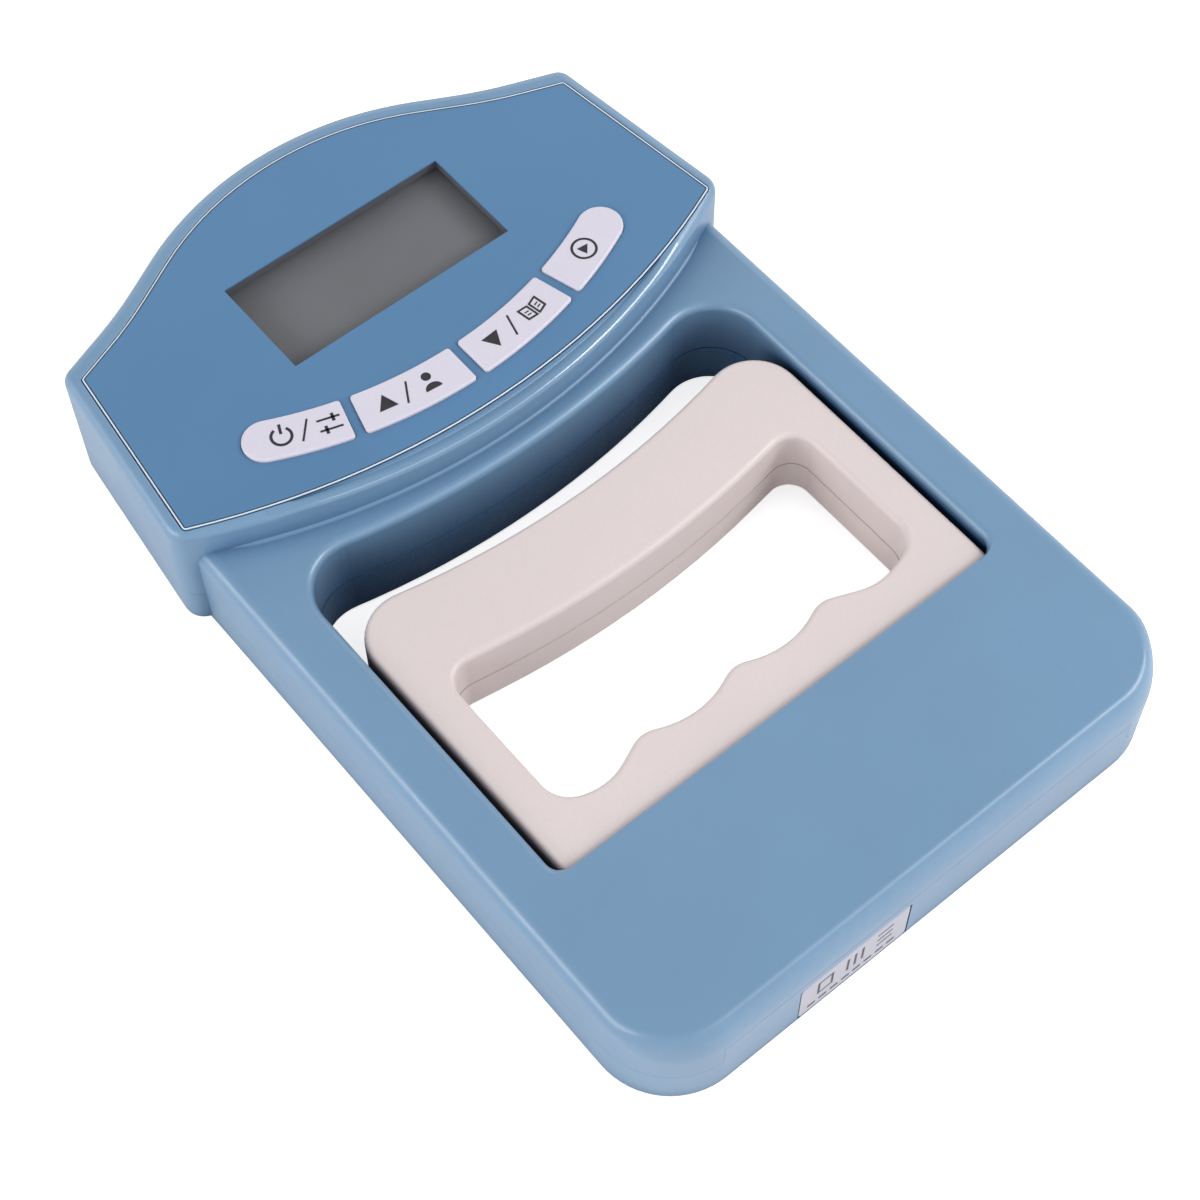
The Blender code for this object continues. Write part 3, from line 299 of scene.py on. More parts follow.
def prism(outlines, z0, z1):
    """Upright solid on one outline, or on a list of outlines of which the inner ones are holes."""
    if isinstance(outlines[0], tuple):
        outlines = [outlines]
    curve = bpy.data.curves.new("tool", "CURVE")
    curve.dimensions, curve.fill_mode, curve.extrude = "2D", "BOTH", (z1 - z0) / 2 * MM
    for outline in outlines:
        spline = curve.splines.new("POLY")
        spline.points.add(len(outline) - 1)
        for knot, (point, _) in zip(spline.points, outline):
            knot.co = (point.x * MM, (point.y + DATUM_Y) * MM, 0, 1)
        spline.use_cyclic_u = True
    return settle(add("tool", curve, at=(0, 0, (z0 + z1) / 2 * MM)), merge_flat=len(outlines) == 1)


def plain(points):
    """Outline for a prism, whose normals are never read."""
    return [(Vector(point), None) for point in points]


def loft(rings):
    """Closed skin over rings of (x, y, z), all with the same number of points."""
    bm = bmesh.new()
    rows = [[bm.verts.new((x * MM, (y + DATUM_Y) * MM, z * MM)) for x, y, z in ring]
            for ring in rings]
    for low, high in zip(rows, rows[1:]):
        for i in range(len(low)):
            j = (i + 1) % len(low)
            bm.faces.new((low[i], low[j], high[j], high[i]))
    bm.faces.new(rows[0][::-1])
    bm.faces.new(rows[-1])
    return add("tool", to_mesh(bm))


def ring_at(outline, outset, z, low_scale=1.0, low_y=None):
    """The outline moved outwards at height z; below low_y the move along y is scaled."""
    ring = []
    for point, normal in outline:
        scale = low_scale if low_y is not None and point.y < low_y else 1.0
        ring.append((point.x + normal.x * outset, point.y + normal.y * outset * scale, z))
    return ring


def quarter_turn(steps):
    return [pi / 2 * k / steps for k in range(steps + 1)]


def rolled(outline, z0, z1, top=0.0, bottom=0.0, segments=9):
    """Plate with quarter-round edges of radius `top` and `bottom`."""
    angles = quarter_turn(segments)
    rings = [ring_at(outline, 0.0, z0)]
    if bottom:
        rings = [ring_at(outline, -bottom * (1 - sin(a)), z0 + bottom * (1 - cos(a)))
                 for a in angles]
    if top:
        rings += [ring_at(outline, -top * (1 - cos(a)), z1 - top * (1 - sin(a))) for a in angles]
    else:
        rings.append(ring_at(outline, 0.0, z1))
    return loft(rings)


def flared(outline, z0, z1, radius, up=True, over=1.0, segments=8, **low):
    """Cutter for an opening with a rounded mouth at its upper or lower end."""
    angles = quarter_turn(segments)
    if up:
        levels = [(z0, 0.0)]
        levels += [(z1 - radius + radius * sin(a), radius * (1 - cos(a))) for a in angles]
        levels.append((z1 + over, radius))
    else:
        levels = [(z0 - over, radius)]
        levels += [(z0 + radius - radius * sin(a), radius * (1 - cos(a))) for a in angles[::-1]]
        levels.append((z1, 0.0))
    return loft([ring_at(outline, outset, z, **low) for z, outset in levels])


def box(x0, x1, y0, y1, z0, z1):
    bm = bmesh.new()
    size = ((x1 - x0) * MM, (y1 - y0) * MM, (z1 - z0) * MM, 1.0)
    bmesh.ops.create_cube(bm, size=1.0, matrix=Matrix.Diagonal(size))
    centre = ((x0 + x1) / 2 * MM, ((y0 + y1) / 2 + DATUM_Y) * MM, (z0 + z1) / 2 * MM)
    return add("tool", to_mesh(bm), at=centre)


def side_boxes(x0, x1, *rest):
    return box(-x1, -x0, *rest), box(x0, x1, *rest)


def rod(x, y, radius, z0, z1, count=32):
    return prism(circle(x, y, radius, count), z0, z1)


def combine(operation, ob, *tools):
    for tool in tools:
        modifier = ob.modifiers.new("combine", "BOOLEAN")
        modifier.operation, modifier.object, modifier.solver = operation, tool, "EXACT"
        ob = settle(ob)
        bpy.data.objects.remove(tool, do_unlink=True)
    return ob


def cut(ob, *tools):
    return combine("DIFFERENCE", ob, *tools)


def join(ob, *tools):
    return combine("UNION", ob, *tools)


def turned(profile, steps, at, tilt=0.0):
    """Solid of revolution of (radius, z) points, its axis tilted about y."""
    bm = bmesh.new()
    verts = [bm.verts.new((radius * MM, 0, z * MM)) for radius, z in profile]
    for start, end in zip(verts, verts[1:]):
        bm.edges.new((start, end))
    ob = add("tool", to_mesh(bm))
    screw = ob.modifiers.new("turn", "SCREW")
    screw.axis, screw.angle, screw.screw_offset = "Z", 2 * pi, 0.0
    screw.use_merge_vertices, screw.merge_threshold = True, 1e-6
    screw.steps = screw.render_steps = steps
    place = Vector((at[0] * MM, (at[1] + DATUM_Y) * MM, at[2] * MM))
    ob.matrix_world = Matrix.Translation(place) @ Matrix.Rotation(tilt, 4, "Y")
    return settle(ob)


def tube(points, radius, resolution):
    curve = bpy.data.curves.new("tool", "CURVE")
    curve.dimensions, curve.use_fill_caps = "3D", True
    curve.bevel_depth, curve.bevel_resolution = radius * MM, resolution
    spline = curve.splines.new("POLY")
    spline.points.add(len(points) - 1)
    for knot, (x, y, z) in zip(spline.points, points):
        knot.co = (x * MM, (y + DATUM_Y) * MM, z * MM, 1)
    return settle(add("tool", curve))


def piece(ob, name, body, material, node=None, smooth=32.0, weighted=True):
    """Finish a mesh: baked transform, clean faces, smooth shading, material and body."""
    bpy.context.view_layer.update()
    mesh = ob.data
    mesh.transform(ob.matrix_world)
    ob.matrix_world = Matrix.Identity(4)
    bm = bmesh.new()
    bm.from_mesh(mesh)
    bmesh.ops.remove_doubles(bm, verts=bm.verts, dist=1e-6)
    loose = [v for v in bm.verts if not v.link_faces]
    bmesh.ops.delete(bm, geom=loose, context="VERTS")
    bmesh.ops.triangulate(bm, faces=[f for f in bm.faces if len(f.verts) > 4])
    twins = {}              # two faces on the same corners are a fin left by a Boolean, not skin
    for f in bm.faces:
        twins.setdefault(frozenset(f.verts), []).append(f)
    fins = [f for group in twins.values() if len(group) > 1 for f in group]
    bmesh.ops.delete(bm, geom=fins, context="FACES")
    bmesh.ops.recalc_face_normals(bm, faces=bm.faces)
    bm.to_mesh(mesh)
    bm.free()
    mesh.shade_smooth()
    mesh.set_sharp_from_angle(angle=radians(smooth))
    mesh.materials.clear()
    mesh.materials.append(material)
    ob.name = mesh.name = name
    if weighted:
        normals = ob.modifiers.new("face_weighted_normals", "WEIGHTED_NORMAL")
        normals.mode, normals.weight, normals.keep_sharp = "FACE_AREA", 90, True
    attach(ob, body)
    if node:
        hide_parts(node)
    return ob


# ==== materials ====================================================================================
def srgb(*rgb):
    """Linear colour from 8-bit channels."""
    return tuple((c / 255) / 12.92 if c / 255 <= 0.04045 else ((c / 255 + 0.055) / 1.055) ** 2.4
                 for c in rgb)


def scaled(colour, factor):
    return tuple(min(1.0, channel * factor) for channel in colour)


class Tree:
    """A principled material with short calls for adding nodes."""

    def __init__(self, name):
        self.material = bpy.data.materials.new(name)
        self.material.use_nodes = True
        self.tree = self.material.node_tree
        self.bsdf = self.tree.nodes["Principled BSDF"]
        self.coord = self.tree.nodes.new("ShaderNodeTexCoord")

    def feed(self, socket, value):
        """Link a socket, or set it when the value is a number or a tuple."""
        if isinstance(value, (int, float, tuple)):
            socket.default_value = value
        else:
            self.tree.links.new(value, socket)

    def node(self, kind, inputs=None, **settings):
        node = self.tree.nodes.new(kind)
        for key, value in settings.items():
            setattr(node, key, value)
        for key, value in (inputs or {}).items():
            self.feed(node.inputs[key], value)
        return node

    def set(self, **values):
        for key, value in values.items():
            self.feed(self.bsdf.inputs[key.replace("_", " ")], value)

    def stretched(self, scale):
        mapping = self.node("ShaderNodeMapping", {
            "Scale": scale, "Vector": self.coord.outputs["Object"]})
        return mapping.outputs["Vector"]

    def noise(self, scale=1.0, detail=4.0, rough=0.55, stretch=None, w=0.0):
        node = self.node("ShaderNodeTexNoise", {
            "Scale": scale, "Detail": detail, "Roughness": rough, "W": w}, noise_dimensions="4D")
        vector = self.stretched(stretch) if stretch else self.coord.outputs["Object"]
        self.feed(node.inputs["Vector"], vector)
        return node.outputs["Fac"]

    def ramp(self, value, span, to=(0.0, 1.0)):
        """Clamped linear map of a value from `span` to `to`."""
        return self.node("ShaderNodeMapRange", {
            "From Min": span[0], "From Max": span[1], "To Min": to[0], "To Max": to[1],
            "Value": value}, clamp=True).outputs["Result"]

    def math(self, operation, *values):
        node = self.node("ShaderNodeMath", operation=operation)
        for i, value in enumerate(values):
            self.feed(node.inputs[i], value)
        return node.outputs[0]

    def times(self, *values):
        return self.math("MULTIPLY", *values)

    def mix(self, factor, first, second):
        node = self.node("ShaderNodeMix", {"Factor": factor}, data_type="RGBA")
        for key, colour in (("A", first), ("B", second)):
            socket = [s for s in node.inputs if s.name == key and s.type == "RGBA"][0]
            self.feed(socket, (*colour, 1.0) if isinstance(colour, tuple) else colour)
        return [s for s in node.outputs if s.type == "RGBA"][0]

    def vary(self, base, value, span, scales):
        """Base colour drifting between two brightnesses."""
        return self.mix(self.ramp(value, span), scaled(base, scales[0]), scaled(base, scales[1]))

    def tinge(self, colour, mask, share, to):
        """Colour moved by `share` towards another where the mask is 1."""
        return self.mix(self.times(mask, share), colour, to)

    def openness(self, reach, span):
        """1 on open surfaces, falling to 0 deep in recesses; reach in metres."""
        node = self.node("ShaderNodeAmbientOcclusion", {"Distance": reach}, samples=8)
        return self.ramp(node.outputs["AO"], span)

    def shade(self, colour, openness, tint):
        """Painted shade: darken towards colour x tint where the surface is closed in."""
        node = self.node("ShaderNodeVectorMath", {0: colour, 1: tint}, operation="MULTIPLY")
        return self.mix(openness, node.outputs["Vector"], colour)

    def axes(self, source):
        vector = self.coord.outputs[source]
        return self.node("ShaderNodeSeparateXYZ", {"Vector": vector}).outputs

    def bumps(self, *layers):
        """Stack bumps, each (height, strength, distance in metres)."""
        last = None
        for height, strength, distance in layers:
            bump = self.node("ShaderNodeBump", {
                "Strength": strength, "Distance": distance, "Height": height})
            if last:
                self.feed(bump.inputs["Normal"], last)
            last = bump.outputs["Normal"]
        self.set(Normal=last)


def moulded(name, rgb, rough, grain=5200.0, grain_depth=0.12, edge=1.10, mottle=0.035, coat=0.0,
            coat_rough=0.24, seed=0.0, sss=0.0, deep=None, tint=None, pit=None,
            nook=(0.58, 0.64, 0.72)):
    """Injection-moulded plastic: eroded grain, slow colour drift, paler worn edges, hairlines.

    deep (metres) turns on painted shade in recesses (darker colour, weaker specular and coat): tint in
    wide ones, nook in tight ones. pit is (half width, y0, y1, z) in mm from the frame's origin, a zone
    where the painted shade sets in sooner.
    """
    tree = Tree(name)
    base = srgb(*rgb)
    specular = 0.5
    drift = tree.noise(scale=26.0, detail=3.0, rough=0.5, w=seed)
    colour = tree.vary(base, drift, span=(0.35, 0.65), scales=(1 - mottle, 1 + mottle))
    speck = tree.ramp(tree.noise(scale=1900.0, detail=2.0, rough=0.6, w=seed + 3), span=(0.42, 0.60))
    colour = tree.tinge(colour, speck, share=0.10, to=scaled(base, 0.82))
    upright = tree.math("ABSOLUTE", tree.axes("Normal")["Z"])
    on_edge = tree.times(tree.ramp(upright, span=(0.10, 0.30)), tree.ramp(upright, span=(0.97, 0.80)))
    wear = tree.noise(scale=310.0, detail=5.0, rough=0.7, w=seed + 5)
    worn = tree.times(on_edge, tree.ramp(wear, span=(0.42, 0.62)))
    colour = tree.tinge(colour, worn, share=0.45, to=scaled(base, edge))
    scratch = tree.noise(detail=3.0, rough=0.6, stretch=(2600.0, 55.0, 900.0), w=seed + 7)
    hair = tree.ramp(scratch, span=(0.68, 0.76))
    hair = tree.times(hair, tree.ramp(upright, span=(0.97, 0.995)))
    cloud = tree.noise(scale=75.0, detail=5.0, rough=0.6, w=seed + 9)
    roughness = tree.math("ADD", tree.ramp(cloud, span=(0.3, 0.7), to=(rough - 0.05, rough + 0.06)),
                          tree.times(hair, 0.07))
    roughness = tree.math("SUBTRACT", roughness, tree.times(worn, 0.03))
    tree.set(Roughness=roughness, IOR=1.5, Specular_IOR_Level=specular)
    # painted shade: colour darkened by ambient occlusion, wide recesses towards colour x tint, tight
    # ones towards colour x nook
    if deep:
        wide = tree.openness(deep, span=(0.10, 0.60))
        tight = tree.openness(0.006, span=(0.42, 0.93))
        # inside the pit zone the painted shade sets in sooner
        if pit:
            half, y0, y1, z = (value * MM for value in pit)
            fade, fade_z = 0.6 * MM, 1.5 * MM       # soft borders of the pit zone
            axes = tree.axes("Object")
            inside = tree.times(
                tree.ramp(tree.math("ABSOLUTE", axes["X"]), span=(half + fade, half)),
                tree.times(tree.ramp(axes["Y"], span=(y0 - fade, y0)),
                           tree.ramp(axes["Y"], span=(y1 + fade, y1))))
            inside = tree.times(inside, tree.ramp(axes["Z"], span=(z + fade_z, z)))
            wide = tree.math("MINIMUM", wide, tree.math(
                "MAXIMUM", tree.math("SUBTRACT", 1.0, inside), tree.openness(deep, span=(0.14, 0.86))))
        colour = tree.shade(colour, wide, tint)
        colour = tree.shade(colour, tight, nook)
        # specular and coat fall off in recesses too: painted shade on the reflections
        sheen = tree.times(wide, tree.ramp(tight, span=(0.0, 1.0), to=(0.3, 1.0)))
        tree.set(Specular_IOR_Level=tree.times(sheen, specular))
        if coat:
            tree.set(Coat_Weight=tree.times(sheen, coat), Coat_Roughness=coat_rough)
    elif coat:
        tree.set(Coat_Weight=coat, Coat_Roughness=coat_rough)
    tree.set(Base_Color=colour)
    if sss:
        tree.set(Subsurface_Weight=sss, Subsurface_Scale=0.0012, Subsurface_Radius=(1.0, 0.85, 0.8))
    fine = tree.noise(scale=grain, detail=3.0, rough=0.6, w=seed + 11)
    swell = tree.noise(scale=210.0, detail=2.0, rough=0.5, w=seed + 13)
    tree.bumps((swell, 0.08, 0.00010), (fine, grain_depth, 0.00004), (hair, 0.03, 0.00002))
    return tree.material


def metal(name, rgb, rough, grain=(40.0, 3000.0, 3000.0), seed=0.0):
    """Brushed metal with faint stains; grain is the noise scale along each axis."""
    tree = Tree(name)
    base = srgb(*rgb)
    brush = tree.noise(detail=4.0, rough=0.7, stretch=grain, w=seed)
    stain = tree.noise(scale=180.0, detail=5.0, rough=0.65, w=seed + 2)
    colour = tree.vary(base, stain, span=(0.45, 0.75), scales=(1.0, 0.85))
    colour = tree.tinge(colour, tree.ramp(brush, span=(0.3, 0.7)), share=0.25, to=scaled(base, 1.12))
    tree.set(Base_Color=colour, Metallic=1.0, Roughness=tree.math(
        "ADD", tree.ramp(brush, span=(0.3, 0.7), to=(rough - 0.06, rough + 0.08)),
        tree.ramp(stain, span=(0.5, 0.8), to=(0.0, 0.1))))
    tree.bumps((brush, 0.12, 0.00002), (stain, 0.05, 0.00003))
    return tree.material


def panel_film():
    """Printed overlay: fine velvet texture with a little gloss and faint wipe marks."""
    tree = Tree("panel_film")
    base = srgb(80, 124, 164)
    drift = tree.noise(scale=18.0, detail=3.0, rough=0.5, w=1)
    colour = tree.vary(base, drift, span=(0.35, 0.65), scales=(0.965, 1.035))
    dots = tree.ramp(tree.noise(scale=3600.0, detail=1.0, rough=0.5, w=4), span=(0.40, 0.62))
    colour = tree.tinge(colour, dots, share=0.09, to=scaled(base, 0.80))
    wipe = tree.noise(detail=4.0, rough=0.6, stretch=(30.0, 420.0, 40.0), w=7)
    tree.set(Base_Color=colour, Roughness=tree.ramp(wipe, span=(0.25, 0.75), to=(0.40, 0.50)),
             Coat_Weight=0.12, Coat_Roughness=0.3)
    tree.bumps((tree.noise(scale=2400.0, detail=2.0, rough=0.5, w=9), 0.10, 0.00003),
               (tree.noise(scale=120.0, detail=2.0, rough=0.5, w=10), 0.04, 0.0001))
    return tree.material


def lcd_glass():
    """Reflective display cell: grey polariser, faint column pattern, soft cloudiness."""
    tree = Tree("lcd_polariser")
    base = srgb(94, 95, 99)
    cloud = tree.noise(scale=55.0, detail=4.0, rough=0.5, w=2)
    colour = tree.vary(base, cloud, span=(0.3, 0.7), scales=(0.95, 1.06))
    columns = tree.noise(detail=1.0, rough=0.4, stretch=(9000.0, 260.0, 10.0), w=5)
    colour = tree.tinge(colour, tree.ramp(columns, span=(0.35, 0.65)), share=0.10,
                        to=scaled(base, 0.84))
    tree.set(Base_Color=colour, Roughness=tree.ramp(cloud, span=(0.3, 0.7), to=(0.34, 0.44)))
    tree.bumps((columns, 0.03, 0.00001))
    return tree.material


def clear_window():
    """Acrylic window, seen as a faint sheen with dust and hairline scratches."""
    tree = Tree("clear_window")
    dust = tree.ramp(tree.noise(scale=900.0, detail=6.0, rough=0.75, w=3), span=(0.62, 0.75))
    scratch = tree.noise(detail=3.0, rough=0.6, stretch=(60.0, 2400.0, 60.0), w=6)
    marks = tree.math("MAXIMUM", dust, tree.ramp(scratch, span=(0.68, 0.73)))
    clean, marked = (0.62, 0.66, 0.70), (0.80, 0.82, 0.84)
    tree.set(Base_Color=tree.mix(marks, clean, marked),
             Roughness=tree.math("ADD", 0.07, tree.times(marks, 0.25)),
             Alpha=tree.math("ADD", 0.035, tree.times(marks, 0.05)))
    tree.bumps((marks, 0.02, 0.00001))
    return tree.material


def board(name):
    """Solder mask with traces and pads showing through."""
    tree = Tree(name)
    base = srgb(28, 92, 52)
    tracks = tree.node("ShaderNodeTexBrick", {"Scale": 1.0, "Mortar Size": 0.06}, offset=0.37,
                       squash=1.4)
    tree.feed(tracks.inputs["Vector"], tree.stretched((130.0, 160.0, 130.0)))
    colour = tree.mix(tracks.outputs["Fac"], base, scaled(base, 1.9))
    pads = tree.node("ShaderNodeTexVoronoi", {
        "Scale": 260.0, "Vector": tree.coord.outputs["Object"]}, feature="F1")
    dot = tree.ramp(pads.outputs["Distance"], span=(0.16, 0.12))
    colour = tree.tinge(colour, dot, share=0.8, to=srgb(190, 186, 170))
    tree.set(Base_Color=colour,
             Roughness=tree.ramp(tree.noise(scale=300.0), span=(0.3, 0.7), to=(0.28, 0.42)))
    tree.bumps((tracks.outputs["Fac"], 0.2, 0.00003), (dot, 0.3, 0.00004))
    return tree.material


def cell_wrap(name, plus_x, sign, seed):
    """Sleeve of a cell: dark body, metallic band near the positive end, bare steel ends."""
    tree = Tree(name)
    axes = tree.axes("Object")
    # distance from the positive end, in mm
    along = tree.times(tree.math("SUBTRACT", axes["X"], plus_x * MM), sign / MM)
    dark = tree.times(tree.ramp(along, span=(12.9, 13.0)), 1.0)
    colour = tree.mix(dark, srgb(176, 126, 62), srgb(34, 40, 48))
    stripe = tree.times(tree.ramp(along, span=(13.4, 13.5)), tree.ramp(along, span=(14.3, 14.2)))
    colour = tree.mix(stripe, colour, srgb(206, 208, 210))
    ends = tree.math("MAXIMUM", tree.ramp(along, span=(2.0, 1.9)), tree.ramp(along, span=(43.9, 44.0)))
    colour = tree.mix(ends, colour, srgb(196, 197, 198))
    streak = tree.noise(detail=4.0, rough=0.7, stretch=(500.0, 60.0, 60.0), w=seed)
    scuff = tree.ramp(streak, span=(0.62, 0.74))
    colour = tree.tinge(colour, scuff, share=0.25, to=srgb(150, 152, 156))
    metallic = tree.math("MAXIMUM", ends, tree.times(tree.math("SUBTRACT", 1.0, dark), 0.7))
    gloss = tree.noise(scale=400.0, w=seed + 1)
    tree.set(Base_Color=colour, Metallic=metallic,
             Roughness=tree.ramp(gloss, span=(0.3, 0.7), to=(0.24, 0.38)))
    tree.bumps((scuff, 0.08, 0.00002), (tree.noise(scale=90.0, w=seed + 2), 0.08, 0.0001))
    return tree.material


def fibre(name, rgb, rough, seed):
    """Cable jackets, elastomer and label stock: soft surface with fine streaks."""
    tree = Tree(name)
    base = srgb(*rgb)
    streak = tree.noise(detail=4.0, rough=0.65, stretch=(2200.0, 350.0, 1400.0), w=seed)
    blot = tree.noise(scale=140.0, detail=4.0, rough=0.6, w=seed + 2)
    colour = tree.vary(base, streak, span=(0.3, 0.7), scales=(0.93, 1.05))
    colour = tree.tinge(colour, tree.ramp(blot, span=(0.5, 0.75)), share=0.15, to=scaled(base, 0.85))
    tree.set(Base_Color=colour,
             Roughness=tree.ramp(blot, span=(0.3, 0.7), to=(rough - 0.05, rough + 0.07)))
    tree.bumps((streak, 0.12, 0.00003), (blot, 0.05, 0.00006))
    return tree.material


def ink(name, rgb):
    """Printed ink: dense, slightly uneven, with pinholes."""
    tree = Tree(name)
    base = srgb(*rgb)
    pin = tree.ramp(tree.noise(scale=5200.0, detail=2.0, rough=0.6, w=1), span=(0.60, 0.70))
    uneven = tree.noise(scale=800.0, detail=3.0, rough=0.6, w=2)
    colour = tree.vary(base, uneven, span=(0.3, 0.7), scales=(0.85, 1.25))
    colour = tree.tinge(colour, pin, share=0.3, to=scaled(base, 2.2))
    tree.set(Base_Color=colour, Roughness=tree.ramp(uneven, span=(0.3, 0.7), to=(0.38, 0.52)))
    tree.bumps((pin, 0.1, 0.00001))
    return tree.material


HOUSING_RGB = (109, 144, 175)
# deep, tint and pit turn on painted shade: the housing darkens towards deep blue in its recesses,
# soonest inside the window
HOUSING = dict(rgb=HOUSING_RGB, edge=1.05, coat=0.6, coat_rough=0.33, deep=0.024,
               pit=(52.4, -58.0, 20.4, 21.3))
# deep, tint and nook turn on painted shade in the grip's recesses
GRIP_PLASTIC = dict(grain=4600.0, edge=1.03, mottle=0.015, sss=0.04, deep=0.016,
                    tint=(0.55, 0.50, 0.48), nook=(0.84, 0.81, 0.80))

BLUE = moulded("housing_blue", rough=0.35, seed=0.0, tint=(0.18, 0.25, 0.34), **HOUSING)
BLUE_REAR = moulded("housing_blue_rear", rough=0.36, seed=40.0, tint=(0.16, 0.23, 0.32), **HOUSING)
BLUE_DOOR = moulded("door_blue", (110, 143, 177), rough=0.37, seed=60.0, edge=1.15)
RIM = moulded("rim_polish", HOUSING_RGB, rough=0.15, grain_depth=0.05, edge=1.05, coat=1.0,
              coat_rough=0.10)
# dark grey for the walls of the display opening: painted shade in the recess
WELL_SHADE = moulded("display_well_shade", (84, 85, 92), rough=0.55, seed=12.0, edge=1.05)
FILM = panel_film()
# pale band on the overlay's edge: a painted highlight of light catching the film's cut edge
FILM_EDGE_HIGHLIGHT = moulded("film_edge_highlight", (214, 226, 236), rough=0.30, seed=14.0, edge=1.0)
# dark line just inside it: a painted shadow line along the overlay's edge
FILM_SHADOW_LINE = moulded("film_shadow_line", (26, 42, 62), rough=0.42, seed=15.0, edge=1.0)
WHITE = moulded("grip_white", (215, 203, 202), rough=0.40, seed=20.0, **GRIP_PLASTIC)
WHITE_REAR = moulded("grip_white_rear", (213, 201, 200), rough=0.42, seed=26.0, **GRIP_PLASTIC)
KEYCAP = moulded("key_white", (211, 207, 220), rough=0.36, grain=6000.0, grain_depth=0.08,
                 seed=30.0, edge=1.04, mottle=0.012, sss=0.10)
LCD = lcd_glass()
CLEAR = clear_window()
HOLDER = moulded("holder_black", (34, 35, 38), rough=0.46, seed=33.0, edge=1.6)
CHIP = moulded("chip_black", (26, 26, 28), rough=0.48, seed=35.0, edge=1.6)
RUBBER = fibre("elastomer", (120, 116, 118), rough=0.62, seed=3.0)
BOARD = board("board_green")
STEEL = metal("steel", (172, 175, 180), rough=0.30, seed=1.0)
ZINC = metal("zinc", (196, 196, 190), rough=0.32, grain=(900.0, 900.0, 900.0), seed=2.0)
ALU = metal("aluminium", (205, 207, 210), rough=0.32, grain=(30.0, 3200.0, 3200.0), seed=3.0)
NICKEL = metal("nickel", (200, 194, 180), rough=0.24, grain=(2200.0, 60.0, 2200.0), seed=4.0)
CABLE = fibre("cable_grey", (126, 129, 134), rough=0.48, seed=5.0)
RED = fibre("wire_red", (178, 36, 32), rough=0.42, seed=6.0)
BLACK = fibre("wire_black", (34, 34, 36), rough=0.42, seed=7.0)
LABEL = fibre("label_white", (192, 190, 200), rough=0.50, seed=8.0)
AMBER = fibre("gauge_amber", (196, 128, 52), rough=0.38, seed=9.0)
INK = ink("legend_ink", (38, 38, 44))
INK_SOFT = ink("label_ink", (58, 60, 68))


# ==== front housing ================================================================================
RIB = (21, 34, -121.2, -118.6)              # x0, x1, y0, y1 of the ribs low of the window


def ray_gap(origin, direction, outline):
    """Distance from a point along a direction to the outline."""
    best = None
    for start, end in edges(outline):
        edge = end - start
        spread = direction.cross(edge)
        if abs(spread) < 1e-9:
            continue
        gap = (start - origin).cross(edge) / spread
        along = (start - origin).cross(direction) / spread
        if gap > 0 and -1e-6 <= along <= 1 + 1e-6 and (best is None or gap < best):
            best = gap
    return best


def smooth(t):
    t = max(0.0, min(1.0, t))
    return t * t * (3 - 2 * t)


def head_shell():
    """Head with a rolled edge; its low rim dips and meets the overlay in a hollow cove."""
    stations = []                           # point, normal, rim dip, inset of the cove's end, roll
    for point, normal in resampled(HEAD, RESAMPLE):
        off_centre = abs(point.x)
        dip, inset, roll = 0.0, 2.62, HEAD_R
        if point.y < -10:
            roll = HEAD_R - 0.8 * smooth((COVE_HALF + 1 - off_centre) / 12)
            if off_centre < COVE_HALF:
                dip = COVE * (1 - (point.x / COVE_HALF) ** 2)
            if off_centre < 56:
                gap = ray_gap(point, -normal, PANEL) - 0.32
                inset = inset + (gap - inset) * smooth((COVE_HALF + 2 - off_centre) / 10)
        stations.append((point, normal, dip, inset, roll))
    rings = [[(point.x, point.y, FRONT_Z0) for point, *_ in stations]]
    for angle in quarter_turn(9):
        across, down = 1 - cos(angle), 1 - sin(angle)
        rings.append([(p.x - n.x * roll * across, p.y - n.y * roll * across,
                       Z_HEAD - dip - roll * down) for p, n, dip, _, roll in stations])
    for angle in quarter_turn(8):
        ring = []
        for point, normal, dip, inset, _ in stations:
            width = min(1.7, (inset - HEAD_R) * 0.86)
            shift = inset - width + width * sin(angle)
            ring.append((point.x - normal.x * shift, point.y - normal.y * shift,
                         Z_HEAD - dip * cos(angle)))
        rings.append(ring)
    return loft(rings)


def foot():
    """Small concave fillet where the head's low wall stands on the body."""
    stations = [(p, n, 0.8 * smooth((57.0 - abs(p.x)) / 7.0) if p.y < -10 else 0.0)
                for p, n in resampled(HEAD, RESAMPLE)]
    rings = []
    for sunk, angle in [(True, 0.0)] + [(False, angle) for angle in quarter_turn(7)]:
        ring = []
        for point, normal, radius in stations:
            outset = radius * (1 - sin(angle)) - 0.06
            z = Z_FACE + max(radius, 0.05) * (1 - cos(angle)) - 0.004
            ring.append((point.x + normal.x * outset, point.y + normal.y * outset,
                         Z_FACE - 0.7 if sunk else z))
        rings.append(ring)
    return loft(rings)


def front_block():
    """Solid body and head; at the palm end the body's roll is drawn out down to the tongue."""
    block = rolled(BODY, FRONT_Z0, Z_FACE, top=EDGE_R, segments=12)
    for vertex in block.data.vertices:
        place = vertex.co / MM
        if place.z > Z_FACE - EDGE_R - 0.01:
            blend = smooth((BODY_END + DATUM_Y + 13.0 - place.y) / 9.0)
            place.z = Z_FACE - (Z_FACE - place.z) * (1.0 + (PALM_ROLL / EDGE_R - 1.0) * blend)
            vertex.co = place * MM
    return join(block, head_shell(), foot())


